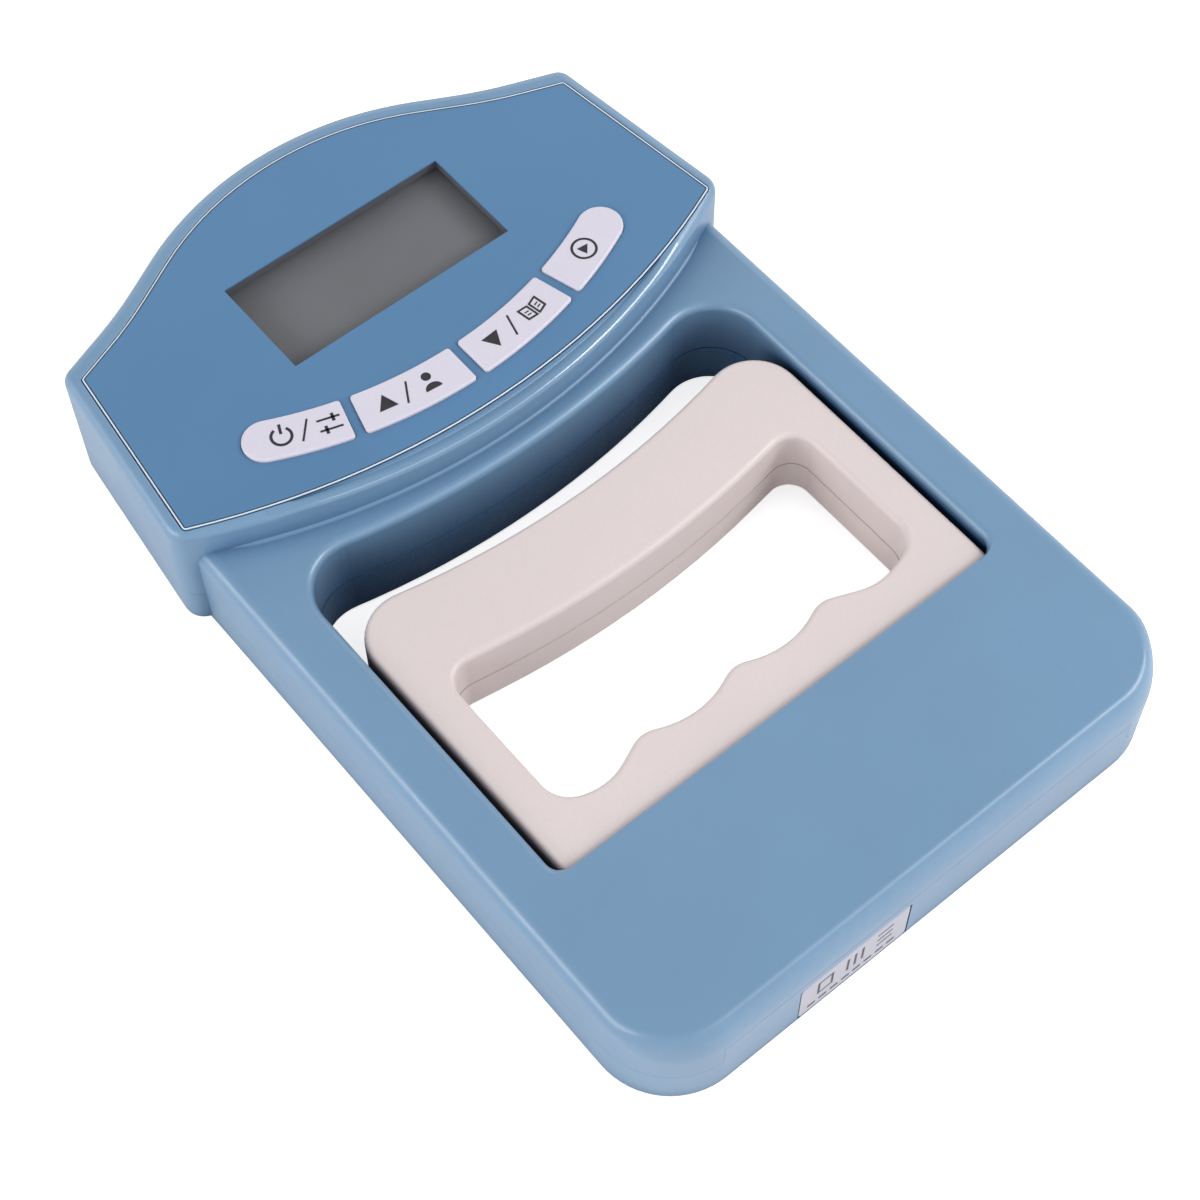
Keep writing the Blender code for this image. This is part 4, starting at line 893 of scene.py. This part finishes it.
def front_shell():
    face_under, head_under = Z_FACE - PALM_T, Z_HEAD - HEAD_T
    inner = grown(BODY, -WALL)
    hollow = join(prism(inner, Z_PART - 2, Z_FACE - FACE_T),
                  prism(grown(HEAD, -HEAD_T), Z_PART - 1, head_under))
    palm = combine("INTERSECT", prism(inner, Z_PART - 3, face_under),
                   box(-80, 80, -160, WIN_WALL_END + 4, 0, 30))
    hollow = cut(join(hollow, palm), prism(GUIDE, Z_PART - 4, Z_HEAD))
    shell = cut(front_block(), hollow,
                box(-WIN_HALF_W, WIN_HALF_W, -122.0, WIN_END + 5, Z_PART - 5, face_under),
                flared(WINDOW, Z_PART - 6, Z_FACE, FLARE, low_scale=0.45, low_y=WIN_END + 1))
    for x, y in BOSSES:
        top = head_under + 0.5 if y > -100 else face_under + 0.5
        shell = join(shell, rod(x, y, 3.5, FRONT_Z0, top))
        shell = cut(shell, rod(x, y, 1.5, Z_PART - 1, 19.5, 20))
    for x, y in BOARD_BOSSES:
        shell = join(shell, rod(x, y, 2.6, BOARD_Z1 + 0.2, head_under + 0.5, 24))
        shell = cut(shell, rod(x, y, 1.15, BOARD_Z1 - 1, 26.6, 16))
    shell = join(shell, *side_boxes(*RIB, 13.8, face_under + 0.4))
    # seat of the overlay, display opening, key openings and room for the rear shell's tongue
    shell = cut(shell, flared(grown(PANEL, 0.18), Z_HEAD - 0.55, Z_HEAD, 0.32, segments=5, over=2),
                prism(rect(-LCD_W / 2 - 0.2, LCD_W / 2 + 0.2, -0.2, LCD_H + 0.2), 26.0, Z_HEAD + 2))
    for outline in KEYS.values():
        shell = cut(shell, prism(grown(outline, 0.3), 26.0, Z_HEAD + 2))
    shell = cut(shell, box(-TONGUE_HALF_W - SEAM, TONGUE_HALF_W + SEAM, BODY_END - 3,
                           BODY_END + WALL + 0.4, Z_PART - 2, Z_TONGUE + 0.08))
    return piece(shell, "front_shell", "housing", BLUE, "front_housing")


def paint_front(shell):
    """Walls round the display opening coloured dark grey as painted shade in the recess, and a shine
    on the crest of the low rim.
    """
    shell.data.materials.append(WELL_SHADE)
    shell.data.materials.append(RIM)
    low_rim = [(point, normal) for point, normal in HEAD if point.y < -10]
    for face in shell.data.polygons:
        x, y, z = face.center / MM
        y -= DATUM_Y
        # walls of the display opening get the dark grey painted shade in place of the housing's blue
        if (abs(x) < LCD_W / 2 + 0.3 and -0.3 < y < LCD_H + 0.3 and 26.5 < z < 29.6
                and abs(face.normal.z) < 0.5):
            face.material_index = 1
        if (abs(x) < COVE_HALF - 2 and -40 < y < -12 and Z_HEAD - 2.9 < z < Z_HEAD - 0.05
                and face.normal.z > 0.25):
            spot = Vector((x, y))
            near = min((abs((spot - point).dot(normal)) for point, normal in low_rim
                        if (spot - point).length < 3.5), default=9.0)
            if near < 1.7:
                face.material_index = 2


paint_front(front_shell())


# ==== rear housing =================================================================================
def rear_shell():
    shell = cut(rolled(BODY, 0, Z_TONGUE - SEAM / 2, bottom=BACK_R, segments=6),
                box(-80, 80, BODY_END + WALL - 0.6, 90, REAR_Z1, 30),
                *side_boxes(TONGUE_HALF_W, 90, -170, 90, REAR_Z1, 31))
    shell = join(shell, rolled(HEAD, 0, REAR_Z1, bottom=HEAD_BACK_R, segments=8))
    hollow = join(prism(grown(BODY, -WALL), FLOOR_T, Z_TONGUE + 2),
                  prism(grown(HEAD, -HEAD_T), FLOOR_T, Z_TONGUE + 3))
    shell = cut(shell, cut(hollow, prism(GUIDE, 0.5, Z_TONGUE + 4)),
                box(-WIN_HALF_W, WIN_HALF_W, -122.0, WIN_END + 5, FLOOR_T - 0.1, Z_PART + 5),
                flared(grown(WINDOW, -0.16), 0, Z_PART + 6, 1.0, up=False, low_scale=0.8,
                       low_y=WIN_END + 1, segments=6))
    shell = join(shell, *side_boxes(*RIB, FLOOR_T - 0.4, 9.85))
    for x, y in BOSSES:
        shell = join(shell, rod(x, y, 4.2, FLOOR_T - 0.5, REAR_Z1))
        shell = cut(shell, flared(circle(x, y, 3.0, 36), 0, 4.6, 0.35, up=False, segments=4),
                    rod(x, y, 1.7, 0, Z_PART + 1, 20))
    # battery bay, seat of the door, slots for its tabs, slot along the bay's -x side
    bay_x0, bay_x1, bay_y0, bay_y1 = BAY
    shell = join(shell, box(bay_x0 - 3, bay_x1 + 3, bay_y0 - 4.2, bay_y1 + 4.8, FLOOR_T - 0.5,
                            BAY_TOP + 1.2))
    door_seat = rect(-DOOR_HALF_W - 0.3, DOOR_HALF_W + 0.3, DOOR_Y0 - 0.3, DOOR_Y1 + 0.3, 1.2)
    shell = cut(shell, prism(rect(*BAY, 0.6), -1, BAY_TOP),
                flared(door_seat, 0, FLOOR_T, 0.25, up=False, segments=3),
                *side_boxes(HINGE_X - 3.4, HINGE_X + 3.4, -1.75, bay_y0 + 0.5, FLOOR_T - 0.05, 4.1),
                box(-4.5, 4.5, bay_y1 - 0.5, DOOR_Y1 + 0.3, FLOOR_T - 0.5, 6.0),
                box(bay_x0, bay_x0 + 2.4, 4.0, 22.0, BAY_TOP - 1, BAY_TOP + 3))
    label_seat = box(-30.3, -5.1, BODY_END - 1, BODY_END + 0.25, 1.6, 13.1)
    piece(cut(shell, label_seat), "rear_shell", "housing", BLUE_REAR,
          "rear_housing")


rear_shell()

# ==== overlay, display window, display =============================================================
FILM_TOP = Z_HEAD - 0.01
EDGE_BAND, SHADOW_LINE_BAND = 0.28, 0.52        # insets at which the painted highlight on the edge and the painted shadow line inside it end


def inset_from(outline, point):
    """Distance from a point to the outline."""
    best = 1e9
    for start, end in edges(outline):
        edge = end - start
        t = max(0.0, min(1.0, (point - start).dot(edge) / max(1e-12, edge.length_squared)))
        best = min(best, (point - start - edge * t).length)
    return best


def overlay():
    levels = [(0.0, Z_HEAD - 0.45), (0.0, FILM_TOP - 0.06), (0.02, FILM_TOP - 0.02),
              (0.06, FILM_TOP), (EDGE_BAND, FILM_TOP), (SHADOW_LINE_BAND, FILM_TOP)]
    film = loft([ring_at(PANEL, -inset, z) for inset, z in levels])
    film = cut(film, flared(rect(-LCD_W / 2, LCD_W / 2, 0, LCD_H, 0.25), Z_HEAD - 1, FILM_TOP, 0.08,
                            segments=3))
    for outline in KEYS.values():
        film = cut(film, flared(grown(outline, 0.12), Z_HEAD - 1, FILM_TOP, 0.07, segments=3))
    film = piece(film, "overlay_sheet", "housing", FILM, "panel_overlay")
    film.data.materials.append(FILM_EDGE_HIGHLIGHT)
    film.data.materials.append(FILM_SHADOW_LINE)
    # the edge band gets the painted highlight, the band inside it the painted shadow line
    for face in film.data.polygons:
        if face.area >= 40e-6:              # the large flat faces stay film
            continue
        x, y, z = face.center / MM
        inset = inset_from(PANEL, Vector((x, y - DATUM_Y)))
        if inset < EDGE_BAND and z > FILM_TOP - 0.1:
            face.material_index = 1
        elif inset < SHADOW_LINE_BAND and z > FILM_TOP - 0.01:
            face.material_index = 2


overlay()
piece(rolled(rect(-28.4, 28.4, -2.9, 25.9, 1.0), 26.62, 27.38, top=0.25, bottom=0.25, segments=4),
      "display_pane", "housing", CLEAR, "display_window")
piece(rolled(rect(-27.3, 27.3, -2.0, 25.0, 0.5), 23.85, 26.18, top=0.2, bottom=0.2, segments=3),
      "display_cell", "housing", LCD, "lcd_panel")

# ==== keys and their pictograms ====================================================================
for key, outline in KEYS.items():
    cap = join(rolled(outline, 25.06, KEY_TOP, top=0.5, segments=7),
               prism(grown(outline, 0.6), 25.92, 27.18))
    piece(cap, "keycap_" + key, "key_" + key, KEYCAP, "key_" + key)


def mark(angle, *outlines, out=0.0):
    """Outlines moved onto the key arc at an angle in degrees; `out` is away from its centre."""
    turn = radians(angle)
    radius = (KEY_R0 + KEY_R1) / 2 + out
    at_x, at_y = radius * sin(turn), KEY_ARC_Y - radius * cos(turn)
    return [[(at_x + (x * cos(turn) - y * sin(turn)), at_y + (x * sin(turn) + y * cos(turn)))
             for x, y in outline] for outline in outlines]


def legend(key, *marks):
    """Printed marks of one key, given a little thickness."""
    bm = bmesh.new()
    for outlines in marks:
        ob = prism([plain(outline) for outline in outlines], KEY_TOP - 0.01, KEY_TOP + 0.025)
        ob.data.transform(ob.matrix_world)
        bm.from_mesh(ob.data)
        bpy.data.objects.remove(ob, do_unlink=True)
    name = "legend_" + key
    piece(add(name, to_mesh(bm, name)), name, "key_" + key, INK, weighted=False)


def arc_points(radius, first, last, count):
    """Points on an arc about the origin, angles in degrees."""
    angles = [radians(first + (last - first) * k / count) for k in range(count + 1)]
    return [(radius * cos(a), radius * sin(a)) for a in angles]


def bar(x0, y0, x1, y1, width):
    along = Vector((x1 - x0, y1 - y0)).normalized()
    side = Vector((-along.y, along.x)) * width / 2
    return [(x0 - side.x, y0 - side.y), (x1 - side.x, y1 - side.y),
            (x1 + side.x, y1 + side.y), (x0 + side.x, y0 + side.y)]


def band(radius, width, first, last):
    return (arc_points(radius + width / 2, first, last, 36)
            + arc_points(radius - width / 2, last, first, 36))


def flipped(points):
    """Mirror image in x, from the same first point and in the same sense of travel."""
    return [(-x, y) for x, y in points[:1] + points[:0:-1]]


SLASH = bar(-0.9, -2.2, 0.9, 2.4, 0.4)
# broken ring with a stroke, slash, two bars with a tick each
legend("power",
       mark(-24.0, band(1.9, 0.55, 125, 415)),
       mark(-24.0, bar(0, 0.5, 0, 2.7, 0.55)),
       mark(-21.2, SLASH),
       mark(-18.2, bar(-2.2, 1.2, 2.2, 1.2, 0.45)),
       mark(-18.2, bar(-2.2, -1.2, 2.2, -1.2, 0.45)),
       mark(-18.2, bar(0.9, 0.3, 0.9, 2.1, 0.6)),
       mark(-18.2, bar(-0.9, -2.1, -0.9, -0.3, 0.6)))
# triangle, slash, person
shoulders = [(1.7 * cos(radians(t)), -1.0 + 1.5 * sin(radians(t))) for t in range(12, 180, 12)]
legend("up",
       mark(-11.2, [(-1.9, -1.5), (1.9, -1.5), (0.0, 1.9)]),
       mark(-8.4, SLASH),
       mark(-5.4, arc_points(0.95, 0, 345, 20), out=-1.25),
       mark(-5.4, [(-1.7, -1.0), (1.7, -1.0)] + shoulders, out=0.9))
# triangle, slash, open leaflet with two lines on each page
page = [(-2.5, 1.7), (-2.5, -1.5), (-0.12, -2.0), (-0.12, 1.2)]
page_hole = [(-2.05, 1.2), (-0.55, 0.88), (-0.55, -1.5), (-2.05, -1.12)]
page_lines = []
for drop in (0.0, 0.75):
    page_lines.append(mark(10.6, bar(-1.75, 0.25 - drop, -0.85, 0.05 - drop, 0.28)))
    page_lines.append(mark(10.6, bar(0.85, 0.05 - drop, 1.75, 0.25 - drop, 0.28)))
legend("down",
       mark(4.2, [(-1.9, 1.5), (0.0, -1.9), (1.9, 1.5)]),
       mark(7.2, SLASH),
       mark(10.6, page, page_hole),
       mark(10.6, flipped(page), flipped(page_hole)),
       *page_lines)
# arrowhead in a ring
legend("start",
       mark(21.6, arc_points(2.6, 0, 360, 40)[:-1], arc_points(2.1, 0, 360, 40)[:-1]),
       mark(21.6, [(-0.8, -1.15), (1.35, 0.0), (-0.8, 1.15)]))

# ==== grip =========================================================================================
GRIP_POST_Z0, GRIP_POST_Z1 = 13.55, 10.45   # where the front posts start and the rear ones end


def grip_half(z0, z1, is_rear):
    """One half of the grip: hollow, with the finger window and a slot in its low wall."""
    walls = [grown(GRIP, -GRIP_WALL), grown(HOLE, GRIP_WALL)]
    if is_rear:
        shell = rolled(GRIP, z0, z1, bottom=1.1, segments=7)
        cavity = prism(walls, z0 + GRIP_WALL, z1 + 1)
        hole = flared(grown(HOLE, -0.12), z0, z1 + 2, 1.2, up=False, segments=6)
    else:
        shell = rolled(GRIP, z0, z1, top=1.2, segments=7)
        cavity = prism(walls, z0 - 1, z1 - GRIP_WALL)
        hole = flared(HOLE, z0 - 2, z1, 1.4, segments=8)
    return cut(shell, cavity, hole, box(-20.4, 20.4, GRIP_END - 2, GRIP_END + GRIP_WALL + 1,
                                        GRIP_POST_Z1, GRIP_POST_Z0))


grip_front = grip_half(GRIP_SPLIT + SEAM / 2, GRIP_Z1, is_rear=False)
grip_rear = grip_half(GRIP_Z0, GRIP_SPLIT - SEAM / 2, is_rear=True)
for x, y in GRIP_BOSSES:
    grip_front = join(grip_front, rod(x, y, 2.8, GRIP_POST_Z0, GRIP_Z1 - GRIP_WALL + 0.5, 24))
    grip_front = cut(grip_front, rod(x, y, 1.1, 12, 18.6, 16))
    grip_rear = join(grip_rear, rod(x, y, 3.2, GRIP_Z0 + GRIP_WALL - 0.5, GRIP_POST_Z1, 24))
    counterbore = flared(circle(x, y, 2.5, 32), GRIP_Z0, 6.6, 0.3, up=False, segments=4)
    grip_rear = cut(grip_rear, counterbore, rod(x, y, 1.3, 5, 11, 16))
piece(grip_front, "grip_shell_front", "grip", WHITE, "grip_front")
piece(grip_rear, "grip_shell_rear", "grip", WHITE_REAR, "grip_rear")


# ==== battery bay ==================================================================================
def battery_door():
    """Door with two hooked tabs at its low edge, one at the other, grooves and an arrow."""
    door = rolled(rect(-DOOR_HALF_W, DOOR_HALF_W, DOOR_Y0, DOOR_Y1, 1.0), 0.02, DOOR_T, bottom=0.3,
                  segments=4)
    for x in (-HINGE_X, HINGE_X):
        door = join(door, box(x - 3, x + 3, DOOR_Y0, 1.4, DOOR_T - 0.3, 3.4),
                    prism(rect(x - 3, x + 3, -1.3, 1.0, 0.4), 2.2, 3.4))
    door = join(door, prism(rect(-4, 4, 24.6, 25.8, 0.3), DOOR_T - 0.3, 5.2))
    for k in range(4):
        groove = rect(-7 + 0.8 * k, 7 - 0.8 * k, 19.1 + 1.6 * k, 19.6 + 1.6 * k, 0.25)
        door = cut(door, flared(groove, 0.02, 0.45, 0.2, up=False, segments=3))
    arrow = plain([(-2.6, 16.2), (0, 13.6), (2.6, 16.2)])
    piece(cut(door, prism(arrow, -0.5, 0.35)), "battery_cover", "battery_door", BLUE_DOOR,
          "battery_door")


battery_door()

CELL_R, CELL_L, CELL_Z, CELL_START = 5.2, 44.5, 8.0, 18.8
SPRING_X0, SPRING_X1 = 25.5, 19.3
CELL_PROFILE = [            # radius, distance from the negative end
    (0, CELL_L), (1.7, CELL_L), (1.82, CELL_L - 0.12), (1.82, CELL_L - 0.9), (2.2, CELL_L - 1.0),
    (4.3, CELL_L - 1.0), (4.5, CELL_L - 0.8), (4.75, CELL_L - 0.85), (5.05, CELL_L - 1.3),
    (CELL_R - 0.02, CELL_L - 1.9), (CELL_R - 0.02, 0.9), (5.0, 0.35), (4.6, 0.12), (3.6, 0.3),
    (3.3, 0.05), (0, 0.05)]
CELLS = (("lower", 1, 7.45, 3.0), ("upper", -1, 18.55, 8.0))    # name, side of -, y, seed


def coil(name, x0, x1, y, z, node):
    """Conical spring of three turns along x."""
    turns, steps = 3, 28
    points = []
    for k in range(turns * steps + 1):
        t = k / (turns * steps)
        angle = 2 * pi * turns * t
        radius = 3.6 - 1.5 * t
        points.append((x0 + (x1 - x0) * t, y + radius * cos(angle), z + radius * sin(angle)))
    piece(tube(points, 0.34, 2), name, "housing", NICKEL, node, weighted=False)


for name, side, y, seed in CELLS:
    cell = turned(CELL_PROFILE, 48, (side * CELL_START, y, CELL_Z), tilt=-side * pi / 2)
    wrap = cell_wrap("cell_wrap_" + name, side * (CELL_START - CELL_L), side, seed)
    piece(cell, "cell_" + name, "housing", wrap, "battery_" + name, weighted=False)
for name, side, y, _ in CELLS:
    coil("coil_" + name, side * SPRING_X0, side * SPRING_X1, y, CELL_Z, "spring_" + name)


# ==== fasteners ====================================================================================
def screw(name, x, y, z, head_r, head_h, shank_r, length, body, node):
    """Pan-head screw, head towards -z, with a cross recess and a threaded shank."""
    pitch = 0.55
    level = length - 1.6
    profile = [(0, length), (shank_r * 0.35, length), (shank_r * 0.9, level)]
    while level - pitch > 0.8:
        profile += [(shank_r, level - pitch * 0.5), (shank_r * 0.82, level - pitch)]
        level -= pitch
    profile += [(shank_r, 0.25), (shank_r + 0.15, 0), (head_r - 0.12, 0), (head_r, -0.12),
                (head_r, -head_h * 0.45)]
    for angle in quarter_turn(6)[1:]:
        profile.append((head_r * (0.62 + 0.38 * cos(angle)),
                        -head_h * (0.45 + 0.53 * sin(angle))))
    profile.append((0, -head_h * 0.98))
    ob = turned(profile, 32, (x, y, z))
    long, narrow = head_r * 0.62, head_r * 0.24
    for half_x, half_y in ((long, narrow), (narrow, long)):
        levels = ((half_x, half_y, z - head_h - 0.4),
                  (half_x * 0.55, half_y * 0.8, z - head_h * 0.25))
        ob = cut(ob, loft([[(x - w, y - h, depth), (x + w, y - h, depth), (x + w, y + h, depth),
                            (x - w, y + h, depth)] for w, h, depth in levels]))
    piece(ob, name, body, ZINC, node, smooth=40, weighted=False)


for i, (x, y) in enumerate(BOSSES, 1):
    screw(f"case_screw_{i}", x, y, 4.5, head_r=2.68, head_h=2.0, shank_r=1.33, length=14.0,
          body="housing", node=f"housing_screw_{i}")
for i, (x, y) in enumerate(GRIP_BOSSES, 1):
    screw(f"handle_screw_{i}", x, y, 6.5, head_r=2.18, head_h=1.5, shank_r=0.93, length=11.6,
          body="grip", node=f"grip_screw_{i}")

# ==== label on the palm end ========================================================================
plate = rolled(rect(-12.3, 12.3, -5.55, 5.55, 0.8), 0.0, 0.14, top=0.05, segments=2)
label_centre = (-17.7 * MM, (BODY_END + 0.17 + DATUM_Y) * MM, 7.35 * MM)
plate.matrix_world = (Matrix.Translation(label_centre) @ Matrix.Rotation(pi / 2, 4, "X")
                      @ Matrix.Translation((0, -DATUM_Y * MM, 0)))
piece(settle(plate), "blank_label", "housing", LABEL, "rating_label")

# x0, x1, z0, z1 of each printed bar: a row of dashes, a box, three strokes, three lines
MARKS = [(-28.2 + 2.6 * k, -26.4 + 2.6 * k, 3.3, 4.1) for k in range(8)]
MARKS += [(-26.2, -22.6, 6.2, 6.75), (-26.2, -22.6, 10.2, 10.75), (-26.2, -25.65, 6.83, 10.12),
          (-23.15, -22.6, 6.83, 10.12)]
MARKS += [(-19.6, -19.05, 6.2, 10.75), (-17.9, -17.35, 6.2, 10.75), (-16.2, -15.65, 6.2, 10.75)]
MARKS += [(-12.6, -9.0, 6.2, 6.75), (-12.6, -9.0, 8.2, 8.75), (-12.6, -9.0, 10.2, 10.75)]
MARKS_Y, MARKS_T = BODY_END + 0.0275, 0.02


def label_marks():
    bm = bmesh.new()
    for x0, x1, z0, z1 in MARKS:
        centre = ((x0 + x1) / 2 * MM, (MARKS_Y + DATUM_Y) * MM, (z0 + z1) / 2 * MM)
        size = ((x1 - x0) * MM, MARKS_T * MM, (z1 - z0) * MM, 1.0)
        bmesh.ops.create_cube(bm, size=1.0,
                              matrix=Matrix.Translation(centre) @ Matrix.Diagonal(size))
    piece(add("label_marks", to_mesh(bm, "label_marks")), "label_marks", "housing", INK_SOFT,
          weighted=False)


label_marks()

# ==== materials of the pieces kept from the frame ==================================================
GIVEN = {
    "lcd_holder": HOLDER, "lcd_connector": RUBBER, "main_board": BOARD, "controller_chip": CHIP,
    "contact_positive": NICKEL, "contact_negative": NICKEL, "contact_bridge": NICKEL,
    "battery_wire_red": RED, "battery_wire_black": BLACK, "grip_core": STEEL,
    "load_button": ZINC, "load_cell": ALU, "load_cell_mount": STEEL,
    "load_cell_bolt_left": ZINC, "load_cell_bolt_right": ZINC,
    "strain_gauge_left": AMBER, "strain_gauge_right": AMBER, "load_cell_cable": CABLE}
for key in KEYS:
    GIVEN["switch_" + key] = CHIP
    GIVEN["plunger_" + key] = KEYCAP
for i in range(1, 5):
    GIVEN[f"board_screw_{i}"] = ZINC
EASED = ("lcd_holder", "load_cell", "load_cell_mount", "contact_bridge", "lcd_connector")

for name, material in GIVEN.items():
    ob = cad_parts[name]
    ob.data.materials.clear()
    ob.data.materials.append(material)
    if name in EASED:
        bevel = ob.modifiers.new("eased_edges", "BEVEL")
        bevel.width, bevel.segments = 0.12 * MM, 2
        bevel.limit_method, bevel.angle_limit = "ANGLE", radians(50)


# ==== stage: floor, world, lights, camera (metres) =================================================
def floor_paper():
    """Matt white paper with a glow that only the camera sees."""
    tree = Tree("floor_paper")
    paper = tree.noise(scale=60.0, detail=5.0, rough=0.6, w=2)
    darker, lighter = (0.86, 0.86, 0.865), (0.885, 0.885, 0.89)
    tree.set(Base_Color=tree.mix(tree.ramp(paper, span=(0.3, 0.7)), darker, lighter),
             Roughness=0.85, Specular_IOR_Level=0.2)
    tree.bumps((tree.noise(scale=900.0, detail=3.0, rough=0.6, w=3), 0.05, 0.0001))
    glow = tree.node("ShaderNodeEmission", {"Color": (1.0, 1.0, 1.0, 1.0)})
    seen = tree.node("ShaderNodeLightPath").outputs["Is Camera Ray"]
    tree.feed(glow.inputs["Strength"], tree.times(seen, 0.72))
    both = tree.node("ShaderNodeAddShader", {
        0: tree.bsdf.outputs["BSDF"], 1: glow.outputs["Emission"]})
    tree.feed(tree.tree.nodes["Material Output"].inputs["Surface"], both.outputs["Shader"])
    return tree.material


def build_floor():
    bm = bmesh.new()
    bmesh.ops.create_grid(bm, x_segments=2, y_segments=2, size=6.0)
    floor = add("floor", to_mesh(bm, "floor"), at=(0, 0, -0.0004))
    floor.data.materials.append(floor_paper())


def build_world():
    """Pale surround, brighter near the horizon than overhead."""
    world = bpy.data.worlds.new("studio")
    scene.world = world
    world.use_nodes = True
    nodes, links = world.node_tree.nodes, world.node_tree.links
    background = nodes["Background"]
    coord = nodes.new("ShaderNodeTexCoord")
    axes = nodes.new("ShaderNodeSeparateXYZ")
    links.new(coord.outputs["Generated"], axes.inputs["Vector"])
    fade = nodes.new("ShaderNodeMapRange")
    fade.interpolation_type = "SMOOTHSTEP"
    for key, value in {"From Min": 0.15, "From Max": 0.75, "To Min": 0.87, "To Max": 0.435}.items():
        fade.inputs[key].default_value = value
    links.new(axes.outputs["Z"], fade.inputs["Value"])
    links.new(fade.outputs["Result"], background.inputs["Strength"])
    background.inputs["Color"].default_value = (0.97, 0.985, 1.0, 1.0)


def softbox(name, at, size, energy, colour, target=(0, 0, 0.02)):
    light = bpy.data.lights.new(name, "AREA")
    light.shape = "RECTANGLE"
    light.size, light.size_y = size
    light.energy, light.color = energy, colour
    ob = add(name, light, at=at)
    ob.rotation_mode = "QUATERNION"
    ob.rotation_quaternion = (Vector(target) - Vector(at)).to_track_quat("-Z", "Y")


def build_camera():
    data = bpy.data.cameras.new("camera")
    camera = add("camera", data)
    data.sensor_width, data.lens = 36.0, 73.62
    data.clip_start, data.clip_end = 0.01, 20.0
    # unit vectors of the view
    right = Vector((0.7710175837933243, -0.6367894927750392, -0.005570221971571837))
    down = Vector((-0.547719986214799, -0.658660323508991, -0.515916073538994))
    into = Vector((0.3248610505775733, 0.40083128636165694, -0.8566210233769049))
    matrix = Matrix((right, -down, -into)).transposed().to_4x4()
    matrix.translation = Vector((-0.15199, -0.19506, 0.39405))
    camera.matrix_world = matrix
    scene.camera = camera


build_floor()
build_world()
softbox("key", at=(-0.92, 0.14, 0.46), size=(1.2, 0.42), energy=6.5, colour=(1.0, 0.985, 0.99))
softbox("kick", at=(0.68, -0.48, 0.58), size=(0.60, 0.38), energy=5.15, colour=(1.0, 0.99, 0.99))
softbox("front", at=(0.25, -0.80, 0.72), size=(0.9, 0.40), energy=1.9, colour=(1.0, 0.99, 1.0),
        target=(-0.05, 0, 0.02))
softbox("rim", at=(0.55, 0.80, 0.50), size=(1.2, 0.32), energy=1.55, colour=(0.98, 0.985, 1.0))
build_camera()
scene.view_settings.view_transform = "Standard"
scene.view_settings.look = "None"
